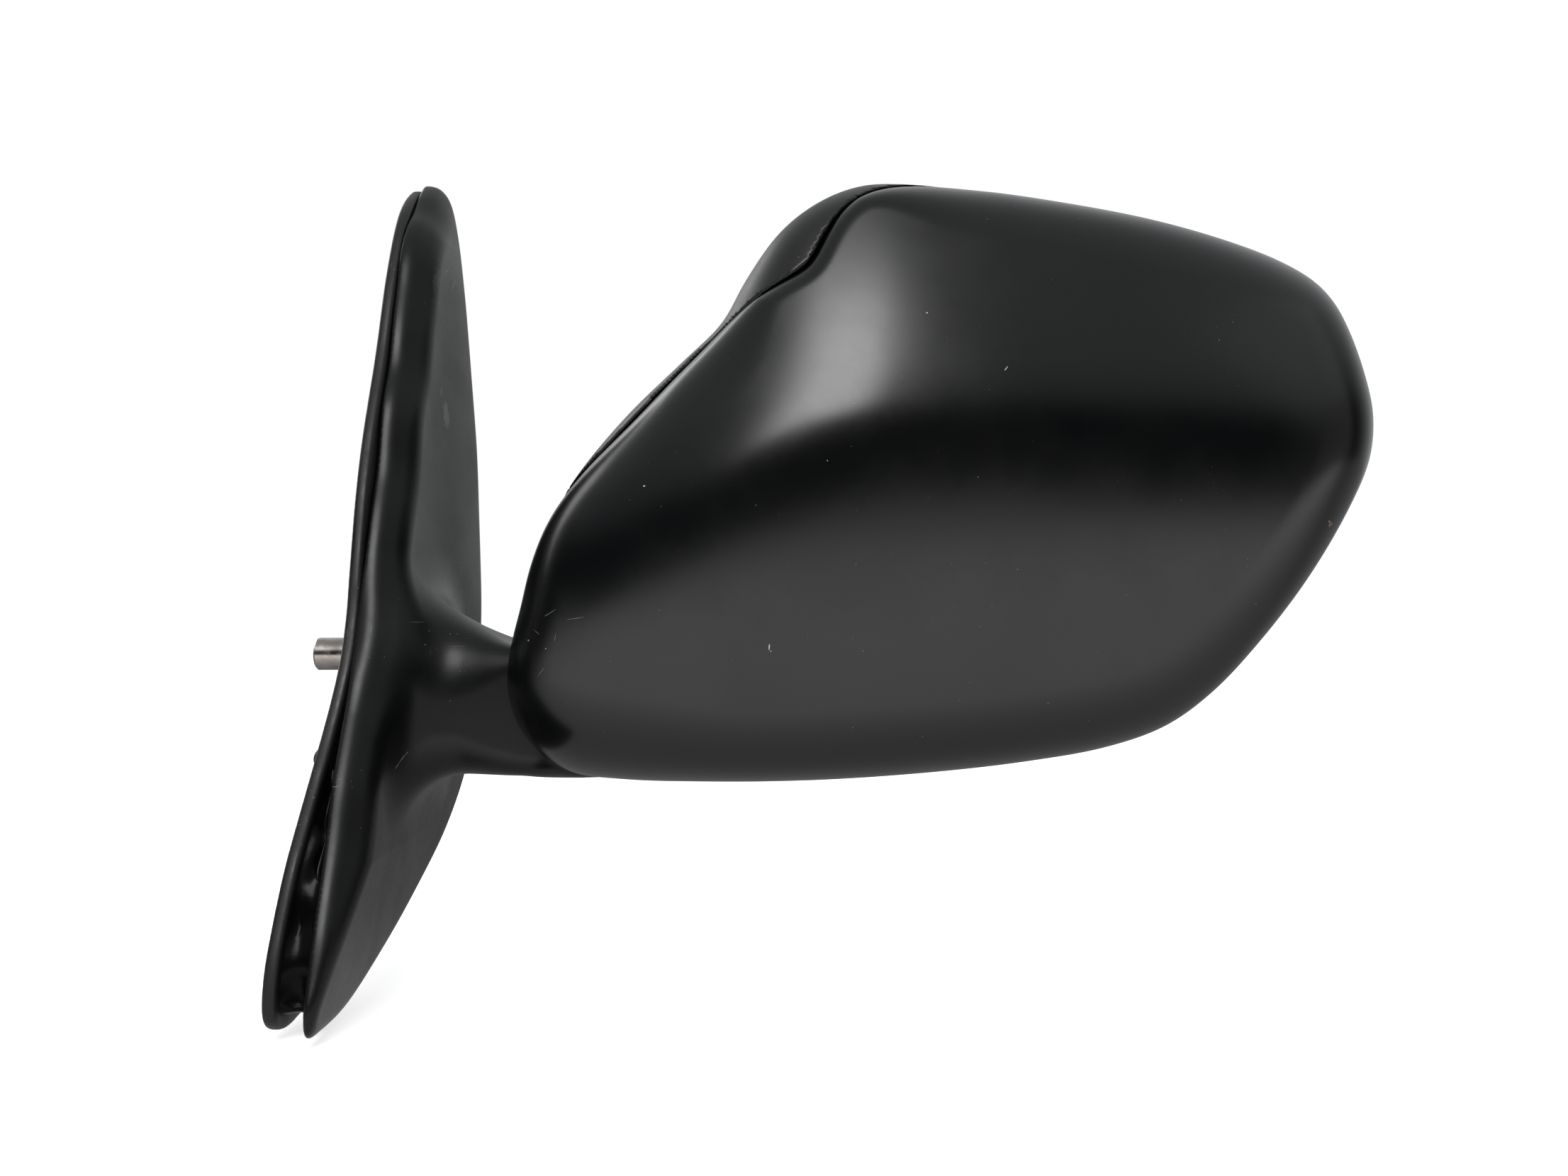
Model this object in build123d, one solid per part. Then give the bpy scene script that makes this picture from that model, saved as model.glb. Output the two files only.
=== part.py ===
from build123d import *
from build123d import topology
import math
import os
import numpy as np

# Left-hand door mirror. Millimetres. +X points outboard from the door, +Y rearward, +Z up.
# Origin: axis of the main mounting boss, on the plane where the gasket meets the door.

topology.shape_core.SkipClean.clean = False     # leave the faces of boolean results unmerged

# ---- driving dimensions ----
wall = 2.5                              # moulded wall of shells and covers
gasket_thick = 4.0
fold_x, fold_y = 69.0, 0.0              # vertical fold axis
fold_deg = 56.0                         # head swings rearward by this much
knuckle_r = 24.0                        # round end of the arm
knuckle_bottom, knuckle_top = -36.0, 2.0
pocket_r = 26.0                         # head's pocket round the knuckle
pocket_top = 3.6                        # ceiling of that pocket
tube_r, tube_bore_r = 7.0, 5.0          # fold pivot tube
spring_cup_r = 13.5                     # bore of the bracket's spring cup
detent_r = 14.0                         # outer radius of the detent rings
detent_peg_offset = 10.5                # pegs of the lower ring, either side of the fold axis
boss_r = 5.0                            # door mounting boss
thread_r = 2.5                          # its tapped bore
# (Y, Z, reach inboard, bore depth); the upper boss is short: the door skin lies closer there
bosses = [(0.0, 0.0, 15.0, 16.0), (48.0, 98.0, 5.0, 8.5), (48.0, -38.0, 15.0, 16.0)]
pilot_r = 1.3                           # pilot bore in every screw post
frame_thick = 4.0                       # head frame panel, from Y = -4 to 0
rim_y = 43.0                            # rear rim of the housing
pivot_x, pivot_y, pivot_z = 192.0, 28.0, 54.0       # ball centre of the mirror glass
jack_arm = 25.0                         # jack screw distance from the ball centre
glass_gap = 3.0                         # gap between glass and bezel opening
wheel_teeth, gear_module = 24, 0.8
worm_pitch_r = 3.2
centre_distance = gear_module * wheel_teeth / 2 + worm_pitch_r
base_cable_y, base_cable_z = 0, -30     # cable passage into the door
head_cable_x, head_cable_z = 163, 54    # cable passage into the actuator
plug_x, plug_z = -15, -57.5             # centre line of the connector

frame_post_xz = [(118, 76), (122, 12), (252, 16), (252, 98)]        # frame screws
actuator_screw_xz = [(165, 84), (228, 94.5), (160, 33), (206, 12)]
cover_posts = [(42, 116, 13.6), (46, 30, 20.8), (20, -50, 14.0)]    # (Y, Z, X reached)


# ---- basic solids ----
def cyl_x(x, y, z, radius, length):
    return Solid.make_cylinder(radius, length, Plane(origin=(x, y, z), z_dir=(1, 0, 0)))


def cyl_y(x, y, z, radius, length):
    return Solid.make_cylinder(radius, length, Plane(origin=(x, y, z), z_dir=(0, 1, 0)))


def cyl_z(x, y, z, radius, length):
    return Solid.make_cylinder(radius, length, Plane(origin=(x, y, z), z_dir=(0, 0, 1)))


def fold_cyl(z, radius, length):
    """Cylinder on the fold axis, upwards from z."""
    return cyl_z(fold_x, fold_y, z, radius, length)


def ball(x, y, z, radius):
    return Solid.make_sphere(radius, angle1=-90, angle2=90).moved(Location((x, y, z)))


def box(x0, x1, y0, y1, z0, z1):
    return Pos((x0 + x1) / 2, (y0 + y1) / 2, (z0 + z1) / 2) * Box(x1 - x0, y1 - y0, z1 - z0)


def outward(solid):
    """The solid, turned right side out if its volume is negative."""
    return solid if solid.volume > 0 else Solid(solid.wrapped.Reversed())


def one(shape):
    """The largest solid of a boolean result."""
    return max([outward(s) for s in shape.solids()], key=lambda s: s.volume)


# ---- outlines: arrays of 2-D points ----
def blend(p, q, tp, tq, t):
    """Straight line through p at tp and q at tq, taken at t."""
    return (tq - t) / (tq - tp) * p + (t - tp) / (tq - tp) * q


def relax(ring, passes):
    """Averages each point of a closed ring with its neighbours."""
    for _ in range(passes):
        ring = 0.25 * np.roll(ring, 1, 0) + 0.5 * ring + 0.25 * np.roll(ring, -1, 0)
    return ring


def smooth_outline(points, count, fine=1600):
    """count evenly spaced points along a closed centripetal Catmull-Rom curve."""
    knots = np.array(points, float)
    total = len(knots)
    curve = []
    for i in range(total):
        a, b, c, d = (knots[(i + k) % total] for k in (-1, 0, 1, 2))
        t0 = 0.0
        t1 = t0 + max(np.linalg.norm(b - a), 1e-6) ** 0.5
        t2 = t1 + max(np.linalg.norm(c - b), 1e-6) ** 0.5
        t3 = t2 + max(np.linalg.norm(d - c), 1e-6) ** 0.5
        for t in np.linspace(t1, t2, fine // total, endpoint=False):
            ab = blend(a, b, t0, t1, t)
            bc = blend(b, c, t1, t2, t)
            cd = blend(c, d, t2, t3, t)
            abc = blend(ab, bc, t0, t2, t)
            bcd = blend(bc, cd, t1, t3, t)
            curve.append(blend(abc, bcd, t1, t2, t))
    curve = relax(np.array(curve), 12)      # takes out the unevenness of the table
    steps = np.linalg.norm(np.roll(curve, -1, 0) - curve, axis=1)
    travel = np.concatenate([[0], np.cumsum(steps)])
    loop = np.vstack([curve, curve[:1]])
    stations = np.linspace(0, travel[-1], count, endpoint=False)
    return np.stack([np.interp(stations, travel, loop[:, j]) for j in range(2)], 1)


def normals(outline):
    """Outward unit normals of a closed outline."""
    tangent = np.roll(outline, -1, 0) - np.roll(outline, 1, 0)
    normal = np.stack([tangent[:, 1], -tangent[:, 0]], 1)
    normal /= np.linalg.norm(normal, axis=1)[:, None]
    if ((outline - outline.mean(0)) * normal).sum() < 0:
        normal = -normal
    normal = relax(normal, 2)
    return normal / np.linalg.norm(normal, axis=1)[:, None]


def inset(outline, distance):
    """Moves an outline inwards by a number, or by one value per point."""
    return outline - normals(outline) * np.reshape(distance, (-1, 1))


def ease(x, start, end):
    """Smooth step from 0 at start to 1 at end."""
    t = np.clip((np.asarray(x, float) - start) / (end - start), 0, 1)
    return t * t * (3 - 2 * t)


def smooth_table(table, x, reach=12):
    """Table lookup with rounded corners, averaged over x - reach to x + reach."""
    x = np.asarray(x, float)
    shifts = np.linspace(-reach, reach, 9)
    return sum(np.interp(x + d, table[:, 0], table[:, 1]) for d in shifts) / 9


# ---- solids from outlines ----
def ring_wire(points):
    return Wire([Edge.make_spline([tuple(map(float, p)) for p in points], periodic=True)])


def ring_loft(rings):
    return outward(Solid.make_loft([ring_wire(r) for r in rings], ruled=True))


def plate_y(outline, y0, y1):
    """Prism of an (X, Z) outline from y0 to y1."""
    face = Face(ring_wire([(x, y0, z) for x, z in outline]))
    return Solid.extrude(face, Vector(0, y1 - y0, 0))


def plate_x(outline, x0, x1):
    """Prism of a (Y, Z) outline from x0 to x1."""
    face = Face(ring_wire([(x0, y, z) for y, z in outline]))
    return Solid.extrude(face, Vector(x1 - x0, 0, 0))


def prism_z(polygon, z0, z1):
    """Prism of an (X, Y) polygon from z0 to z1."""
    face = Face(Wire.make_polygon([(x, y, z0) for x, y in polygon], close=True))
    return Solid.extrude(face, Vector(0, 0, z1 - z0))


def even_rings(dense, count):
    """count rings evenly spaced along every meridian of a dense stack of rings."""
    stack = np.array(dense)
    steps = np.linalg.norm(np.diff(stack, axis=0), axis=2)
    travel = np.concatenate([np.zeros((1, stack.shape[1])), np.cumsum(steps, 0)], 0)
    out = np.empty((count, stack.shape[1], 3))
    for j in range(stack.shape[1]):
        stations = np.linspace(0, travel[-1, j], count)
        for k in range(3):
            out[:, j, k] = np.interp(stations, travel[:, j], stack[:, j, k])
    return list(out)


def ring_at(outline, y):
    """3-D ring of an (X, Z) outline at y, a number or one value per point."""
    return np.stack([outline[:, 0], np.broadcast_to(y, len(outline)), outline[:, 1]], 1)


# ---- head outlines (X, Z), clockwise as seen from the front ----
shell_outline = smooth_outline([
    (168, 139.2), (187, 138.6), (212, 135.4), (238, 131.2), (263, 125.7), (280, 120.6), (291, 115),
    (297.5, 108), (301.8, 98), (305.2, 83), (306.2, 72), (304, 58), (297, 43), (284, 22.5), (268, 3),
    (254, -11), (240, -20.5), (222, -26.4), (200, -30), (174, -32.8), (140, -35), (108, -35.6),
    (82, -35.6), (66, -34), (56, -28), (49.5, -19.5), (46.6, -9), (47.6, 1), (51.3, 14), (55, 27),
    (61, 40), (70, 52), (85, 67.3), (102, 84.5), (117, 98.6), (129, 106.8), (135.4, 110.8),
    (139.4, 118.2), (145, 127.6), (154.5, 135.2)], 44)
# rear housing: larger at the inboard upper corner
housing_outline = smooth_outline([
    (163, 142.6), (187, 139.6), (212, 136.2), (238, 132), (263, 126.4), (280, 121.2), (291, 115.6),
    (297.9, 108.4), (302.2, 98), (305.6, 83), (306.6, 72), (304.4, 58), (297.4, 43), (284.4, 22.3),
    (268.4, 2.6), (254.4, -11.4), (240, -21), (222, -26.9), (200, -30.5), (174, -33.3),
    (140, -35.5), (108, -36), (84, -35.6), (67, -33.5), (57, -27.5), (51, -19), (48.6, -9),
    (48.8, 1), (50.3, 14), (53, 29), (58.5, 42), (66.5, 54), (82, 70.4), (99.5, 87.2), (110, 98),
    (116, 110.5), (126, 126.3), (138, 137), (150, 142)], 44)
glass_outline = smooth_outline([
    (101, 22), (100, 0), (104, -14), (116, -20.5), (145, -21.5), (195, -17.5), (228, -11.5),
    (247, 0), (264, 22), (280, 48), (288, 72), (286, 92), (276, 104.5), (255, 111), (215, 119),
    (182, 124.5), (156, 124), (138, 114), (122, 92), (108, 58)], 44)
opening_outline = inset(glass_outline, -glass_gap)
head_centre = np.array([182.0, 50.0])

# (X, Z) of the ridge line across the front face
ridge = np.array([(40, 8), (60, 18), (76, 28), (99, 42), (118, 54), (137, 62.5), (157, 67.5),
                  (186, 69.5), (225, 67.5), (288, 64), (320, 62)], float)
# (X, Y) of the front face along that ridge
crown = np.array([(40, -38), (60, -50), (80, -56.5), (110, -61.5), (150, -63), (190, -60.5),
                  (230, -55), (270, -45.5), (306, -32), (320, -26)], float)


# ---- shared head surfaces ----
def face_y(x, z, slope_above=0.42, slope_below=0.16, round_width=18.0):
    """Y of the front face: it falls away rearward above and below the rounded ridge."""
    rise = z - smooth_table(ridge, x)
    rounded = np.sqrt(rise * rise + round_width * round_width) - round_width
    return (smooth_table(crown, x) + (slope_above + slope_below) / 2 * rounded
            + (slope_above - slope_below) / 2 * rise)


def shoulder(outline):
    """Roll-off radius at each outline point: wide inboard, tighter along the top."""
    x, z = outline[:, 0], outline[:, 1]
    radius = 15 + 8 * ease(-x, -120, -60) * ease(-z, -60, 10) + 4 * ease(x, 250, 300)
    return radius - 4 * ease(z, 95, 125) * ease(-x, -230, -150)


def head_rings(outline, depth, radius, rear, flare=0.8):
    """Rings from the flat ring at Y = rear, round the shoulder and over the front face.

    depth moves the face rearward; radius is the shoulder at each point.
    """
    reach = outline - head_centre
    edge = 1 - radius / np.linalg.norm(reach, axis=1)       # where the shoulder begins
    start = head_centre + reach * edge[:, None]
    drop = radius * 1.05
    side_end = face_y(start[:, 0], start[:, 1]) + depth + drop
    outward_dir = normals(outline)
    dense = []
    for f in np.linspace(0, 1, 12, endpoint=False):         # side wall
        dense.append(ring_at(outline + outward_dir * flare * (1 - f),
                             rear + (side_end - rear) * f))
    for turn in np.linspace(0, 1, 24):                      # shoulder
        across = math.cos(turn * math.pi / 2)
        up = math.sin(turn * math.pi / 2)
        q = head_centre + reach * (edge + (1 - edge) * across)[:, None]
        dense.append(ring_at(q, face_y(q[:, 0], q[:, 1]) + depth + drop * (1 - up)))
    for f in np.linspace(0.98, 0.1, 30):                    # face, level at the last ring
        q = head_centre + reach * (edge * f)[:, None]
        y = face_y(q[:, 0], q[:, 1]) + depth
        dense.append(ring_at(q, y + (y.mean() - y) * ease(-f, -0.3, -0.1)))
    return even_rings(dense, 14)


def housing_rings(offset, y_front, y_rear, count):
    """Rings of the housing's skin inset by offset, drawn in towards the rear rim."""
    x = housing_outline[:, 0]
    dense = []
    for y in np.linspace(y_front, y_rear, 30):
        t = max(0.0, (y - 6) / (rim_y - 6))
        taper = (1.5 + 11 * ease(-x, -135, -72)) * t ** 1.6
        rim_turn = max(0.0, (y - rim_y + 5) / 5.001)
        taper = taper + 3.2 * (1 - math.sqrt(max(0.0, 1 - rim_turn ** 2)))
        dense.append(ring_at(inset(housing_outline, offset + taper), y))
    return even_rings(dense, count)


def joint_y(x):
    """Y of the joint line between front shell and rear housing."""
    return -20 + 12 * ease(x, 78, 130) + 9 * ease(x, 125, 190)


def behind_joint(shift, y_far):
    """Region from the joint line plus shift rearward to y_far, at all heights."""
    z_low, height = -80, 260
    line = [(float(x), float(joint_y(x) + shift), z_low) for x in np.linspace(20, 330, 40)]
    a, b = line[0], line[-1]
    far_a, far_b = (a[0], y_far, z_low), (b[0], y_far, z_low)
    wire = Wire([Edge.make_spline(line), Edge.make_line(b, far_b),
                 Edge.make_line(far_b, far_a), Edge.make_line(far_a, a)])
    return Solid.extrude(Face(wire), Vector(0, 0, height))


def arm_pocket(grow=0.0):
    """Room for the arm and its knuckle, in every fold position, in the head's own frame."""
    folded = math.radians(180 - fold_deg - 2)
    along_x, along_y = math.cos(folded), math.sin(folded)
    half_width = 22.5 + grow
    near = (fold_x + half_width * along_y, fold_y - half_width * along_x)
    far = (near[0] + 80 * along_x, near[1] + 80 * along_y)
    sweep = [(0, -half_width), (fold_x, -half_width), near, far, (0, far[1])]
    ceiling = pocket_top + grow
    low = fold_cyl(-60, pocket_r + grow, ceiling + 60) + prism_z(sweep, -60, ceiling)
    high = prism_z(sweep, -10, 24 + grow) - fold_cyl(-70, 21.0 - grow, 140) \
        - box(fold_x + 4 - grow, 200, -80, 120, -70, 90)
    return one(low + high)


def find_housing_posts():
    """(X, Z) of the housing screws: one inboard, two just outside the glass opening."""
    posts = [(84, 34)]
    for near in ((206, 125), (291, 84)):
        k = int(np.argmin(np.linalg.norm(opening_outline - np.array(near), axis=1)))
        q = opening_outline[k] + normals(opening_outline)[k] * 3.8
        posts.append((float(q[0]), float(q[1])))
    return posts


pocket = arm_pocket()
housing_posts = find_housing_posts()


# ---- head mouldings ----
def front_shell():
    outer = ring_loft(head_rings(shell_outline, 0.0, shoulder(shell_outline), rear=14.0))
    inner_outline = inset(shell_outline, wall)
    inner_shoulder = shoulder(inner_outline) - wall + 0.3
    inner = ring_loft(head_rings(inner_outline, wall, inner_shoulder, rear=16.0))
    ahead = box(0, 340, -100, 60, -80, 180) - behind_joint(0.0, 70)
    shell = (outer - inner) & one(ahead)
    for x, z in frame_post_xz:
        y0 = float(face_y(x, z)) + 1.4
        shell = shell + cyl_y(x, y0, z, 4.2, -frame_thick - 0.05 - y0)
        shell = shell - cyl_y(x, -16, z, pilot_r, 14)
    return one(shell - pocket)


def rear_housing():
    outer = ring_loft(housing_rings(0.0, -30, rim_y, 12))
    inner = ring_loft(housing_rings(wall, -34, rim_y - 3.4, 11))
    middle = ring_loft(housing_rings(1.2, -34, rim_y - 1.6, 11))    # surface inside the wall
    behind = behind_joint(0.3, 60)
    housing = one(outer & behind)
    housing = one(housing - inner)
    housing = one(housing - plate_y(opening_outline, 0, 60))

    # bowl wall round the glass
    bowl_thick, bowl_front = 2.0, 16.0
    bowl = one(plate_y(inset(opening_outline, -bowl_thick), bowl_front, rim_y - 1.5)
               - plate_y(opening_outline, bowl_front - 1, rim_y + 1))
    housing = one(housing + bowl)

    post_y = 2.05
    for x, z in housing_posts:
        housing = one(housing + cyl_y(x, post_y, z, 3.1, rim_y - 2.4 - post_y))
        housing = one(housing - cyl_y(x, 0, z, pilot_r, 16))

    liner = one(one(arm_pocket(2.2) & middle) & behind)     # wall round the arm pocket
    housing = one(housing + liner)
    housing = one(housing - pocket)
    return one(housing - fold_cyl(-5, 16.0, 14))


# ---- base cover ----
# leaf outline (Y, Z)
leaf_outline = smooth_outline([
    (66, 155), (62, 161), (53, 156.5), (42, 147), (34, 140.6), (26, 130.6), (20.6, 118), (15, 105),
    (10, 91), (2, 77), (-4, 57), (-11, 43), (-18, 26), (-22, 14), (-27, 2), (-34, -10), (-43, -24),
    (-49, -34), (-54.5, -47), (-61, -60), (-67, -72), (-71, -82), (-74.5, -92), (-73, -97.5),
    (-64, -98.6), (-40, -98), (-9, -90), (20, -79), (46, -66), (62, -50), (68, -30), (69, 0),
    (69, 40), (69, 80), (68.5, 120), (68, 142)], 60)
leaf_centre = np.array([27.0, 12.0])
# side walls: (X, distance drawn in towards the centre)
leaf_levels = [(4.0, 0.0), (7.5, 0.7), (11.0, 2.6), (14.0, 5.6), (17.0, 9.5), (40.0, 16.0)]
# outer face planes: (X at Y 70 and Z 15, slope along Y, slope along Z)
leaf_faces = [(25.5, 0.11, -0.075), (24.0, 0.03, 0.11)]


def leaf_body(offset):
    """Cover body inset by offset: drawn-in side walls closed by two slanting planes."""
    reach = leaf_outline - leaf_centre
    distance = np.linalg.norm(reach, axis=1)
    rings = []
    for x, drawn_in in leaf_levels:
        q = leaf_centre + reach * (1 - (drawn_in + offset * 1.1) / distance)[:, None]
        if x == leaf_levels[0][0]:
            x = x - 0.6 * offset        # the inner body starts lower, to open the cover
        rings.append(np.stack([np.full(len(q), x), q[:, 0], q[:, 1]], 1))
    body = ring_loft(rings)
    for x, slope_y, slope_z in leaf_faces:
        face = Plane(origin=(x - offset, 70, 15), z_dir=Vector(1, -slope_y, -slope_z))
        body = one(body - (face * Pos(0, 0, 100) * Box(800, 800, 200)))
    return body


def arm(offset):
    """Arm and round knuckle, inset by offset on every side."""
    z0, z1 = knuckle_bottom + offset, knuckle_top - offset
    y0 = -20 + offset
    # (X, height above the knuckle's top)
    top = [(8, 16), (24, 15), (31, 11.5), (38, 6), (46, 1.6), (54, 0.2), (fold_x, 0)]
    wire = Wire([Edge.make_spline([(x, y0, z1 + rise) for x, rise in top]),
                 Edge.make_line((fold_x, y0, z1), (fold_x, y0, z0)),
                 Edge.make_line((fold_x, y0, z0), (8, y0, z0)),
                 Edge.make_line((8, y0, z0), (8, y0, z1 + 16))])
    beam = Solid.extrude(Face(wire), Vector(0, 40 - 2 * offset, 0))
    return one(beam + fold_cyl(z0, knuckle_r - offset, z1 - z0))


def base_cover():
    cover = one(leaf_body(0.0) - leaf_body(wall))
    cover = one(cover + one(arm(0.0) - box(-10, 12, -60, 60, -60, 60)))
    cover = one(cover - arm(wall))
    cover = one(cover - fold_cyl(-3, 14.8, 12))         # opening in the knuckle's top
    cover = one(cover - fold_cyl(-40, 14.0, 12))        # opening in its underside
    for y, z, x_end in cover_posts:
        cover = one(cover + cyl_x(8.05, y, z, 4.0, x_end - 8.05))
        cover = one(cover - cyl_x(7, y, z, pilot_r, x_end - 8.4))
    return cover


# ---- gasket ----
# (Z, X) of the door skin, which falls away inboard below the main boss
door_skin = np.array([
    (-104, -8.8), (-83, -8.4), (-69, -7.5), (-55, -6.2), (-40, -4.4), (-26, -2.5), (-10, -0.9),
    (0, 0), (20, 0), (165, 0)], float)
# (Y, Z)
gasket_outline = smooth_outline([
    (66, 153), (61, 158.5), (53, 156), (38, 145.6), (23, 123.5), (9, 93.8), (-6, 65.5),
    (-13, 47.8), (-20, 22.3), (-22, 13.9), (-33, -10.3), (-42, -25.6), (-50, -40.3), (-58, -54.5),
    (-64, -68.5), (-69, -82.3), (-69, -94), (-62, -98), (-40, -97), (-9, -89), (20, -78),
    (46, -65), (61, -49), (67, -30), (68, 0), (68, 40), (68, 80), (67.5, 120), (67, 142)], 60)
# round holes (Y, Z, radius): cable passage, then three windows
gasket_holes = [(base_cable_y, base_cable_z, 6.1), (34, 52, 17), (-6, -66, 13), (40, -2, 14)]


def base_gasket():
    z_even = np.linspace(-104, 165, 60)         # sampled evenly, so the flat part stays flat
    skin = [(float(x), float(z)) for z, x in zip(z_even, smooth_table(door_skin, z_even, 8))]
    inboard = Edge.make_spline([(x, -90, z) for x, z in skin])
    outboard = Edge.make_spline([(x + gasket_thick - 0.05, -90, z) for x, z in skin])
    wire = Wire([inboard, Edge.make_line(inboard @ 1, outboard @ 1),
                 outboard, Edge.make_line(outboard @ 0, inboard @ 0)])
    sheet = Solid.extrude(Face(wire), Vector(0, 180, 0))
    gasket = sheet & plate_x(gasket_outline, -20, 20)
    for y, z, radius in [(y, z, boss_r + 0.6) for y, z, _, _ in bosses] + gasket_holes:
        gasket = gasket - cyl_x(-20, y, z, radius, 40)
    upper_window = plate_x(inset(gasket_outline, 6), -20, 20).intersect(
        box(-20, 20, -90, 90, 118, 170))
    return one(gasket - upper_window)


# ---- bracket: die-cast plate, arm and spring cup ----
def base_bracket():
    plate = plate_x(inset(leaf_outline, 6.5), gasket_thick + 0.25, 8.0)
    bracket = one(plate & box(0, 20, -80, 80, -70, 150))
    for y, z, radius in [(34, 60, 16), (36, 12, 12), (2, -58, 11)]:     # windows
        bracket = bracket - cyl_x(0, y, z, radius, 20)
    bracket = bracket + box(7, 58, -13, 13, -25.5, -3) + fold_cyl(-27, 18.5, 25)
    bracket = bracket + box(6, 16, -13, 13, -14, 11)
    for y, z, _, _ in bosses:
        bracket = bracket + cyl_x(gasket_thick + 0.3, y, z, 9.0, 8.6)
    for y, z, _, _ in bosses:
        bracket = bracket - cyl_x(-5, y, z, boss_r + 0.02, 30)
    # hollows under and over the arm
    bracket = bracket - box(16, 46, -10, 10, -40, -9) - box(20, 44, -10, 10, -6, 5)
    # spring cup, open below, and tube bore
    bracket = bracket - fold_cyl(-40, spring_cup_r, 32) - fold_cyl(-40, tube_r + 0.05, 50)
    bracket = bracket - cyl_x(-5, base_cable_y, base_cable_z, 6.4, 40)
    for y, z, _ in cover_posts:                                 # hole and counterbore
        bracket = bracket - cyl_x(0, y, z, 1.4, 20) - cyl_x(0, y, z, 2.75, 6.45)
    for side in (-1, 1):                                        # sockets of the detent pegs
        bracket = bracket - cyl_z(fold_x + side * detent_peg_offset, fold_y, -6, 1.6, 6)
    return one(bracket)


def mounting_insert(y, z, reach, bore_depth):
    """Tapped boss, chamfered and countersunk at its inboard end."""
    insert = cyl_x(-reach, y, z, boss_r, reach + 13.0)
    rims = insert.edges().filter_by(GeomType.CIRCLE).sort_by(Axis.X)
    insert = insert.chamfer(0.6, None, rims[:1])
    insert = one(insert - cyl_x(-reach - 1, y, z, thread_r, bore_depth + 1))
    mouth = Plane(origin=(-reach, y, z), z_dir=(1, 0, 0))
    return one(insert - Solid.make_cone(thread_r + 0.8, thread_r, 0.8, mouth))


# ---- screws ----
def screw(seat, direction, radius, length, head_r, head_h):
    """Cross-recess screw: the shank runs from seat along direction, the head lies behind."""
    shank = Plane(origin=seat, z_dir=direction)
    solid = Solid.make_cylinder(radius, length - radius, shank)
    tip_start = tuple(o + v * (length - radius) for o, v in zip(seat, direction))
    tip = Plane(origin=tip_start, z_dir=direction)
    solid = solid + Solid.make_cone(radius, radius * 0.35, radius, tip)
    back = Plane(origin=seat, z_dir=tuple(-v for v in direction))
    solid = solid + Solid.make_cone(head_r, head_r * 0.72, head_h, back)
    slot_length, slot_width, slot_depth = head_r * 1.1, head_r * 0.26, head_h * 0.8
    cross = Box(slot_length, slot_width, slot_depth) + Box(slot_width, slot_length, slot_depth)
    return one(solid - back * Pos(0, 0, head_h * 0.7) * cross)


def cover_screws():
    seat_x = 6.42
    return Compound([screw((seat_x, y, z), (1, 0, 0), radius=1.28,
                           length=min(9.5, x_end - 1.4 - seat_x - 0.3), head_r=2.6, head_h=1.9)
                     for y, z, x_end in cover_posts])


def frame_screws():
    return Compound([screw((x, 0.0, z), (0, -1, 0), radius=1.28, length=10.0,
                           head_r=2.6, head_h=1.7) for x, z in frame_post_xz])


def housing_screws():
    return Compound([screw((x, -frame_thick, z), (0, 1, 0), radius=1.28, length=12.0,
                           head_r=2.6, head_h=1.7) for x, z in housing_posts])


def actuator_screws():
    return Compound([screw((x, -frame_thick, z), (0, 1, 0), radius=1.15, length=9.5,
                           head_r=2.4, head_h=1.6) for x, z in actuator_screw_xz])


# ---- fold mechanism ----
def detent_ring(z, thickness, nub_z, nub_dir):
    """Ring with three conical nubs that rise from nub_z, up (1) or down (-1)."""
    ring = fold_cyl(z, detent_r, thickness) - fold_cyl(z - 1, 7.6, 6)
    for k in range(3):
        a = math.radians(20 + 120 * k)
        foot = (fold_x + 10.8 * math.cos(a), fold_y + 10.8 * math.sin(a), nub_z)
        ring = ring + Solid.make_cone(2.4, 1.2, 0.9, Plane(origin=foot, z_dir=(0, 0, nub_dir)))
    return ring


def detent_ring_lower():
    ring = detent_ring(-2, 2.2, 0.1, 1)
    for side in (-1, 1):
        ring = ring + cyl_z(fold_x + side * detent_peg_offset, fold_y, -4.5, 1.5, 3)
    return one(ring)


def detent_ring_upper():
    return one(detent_ring(1.95, 2.25, 2.05, -1))


def pivot_tube():
    return one(fold_cyl(-27.6, tube_r, 43.6) + fold_cyl(14.05, 12.0, 1.95)
               - fold_cyl(-40, tube_bore_r, 70))


def thrust_washer():
    return one(fold_cyl(-9.5, 12.8, 1.45) - fold_cyl(-12, tube_r + 0.05, 6))


def fold_spring():
    turns, wire_r, mean_r = 4.6, 1.1, 10.0
    bottom, top = -23.35, -10.65
    height = top - bottom
    helix = Edge.make_helix(height / turns, height, mean_r)
    helix = helix.moved(Location((fold_x, fold_y, bottom)))
    section = Wire([Edge.make_circle(wire_r, Plane(origin=helix @ 0, z_dir=helix % 0))])
    return one(Solid.sweep(Face(section), helix, is_frenet=True))


def spring_retainer():
    return one(fold_cyl(-26.6, 12.6, 2.1) + fold_cyl(-24.6, 8.6, 1.0)
               - fold_cyl(-30, tube_r + 0.02, 10))


def pivot_cap():
    """Disc with a recess below and a rim above, notched inboard."""
    rim = fold_cyl(-34.4, 13.0, 1.7) - fold_cyl(-35, 11.4, 4)
    return one(fold_cyl(knuckle_bottom, 13.9, 1.6) + rim - fold_cyl(-36.5, 9.0, 0.9)
               - box(40, fold_x, -4.2, 4.2, -34.4, -30))


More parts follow.
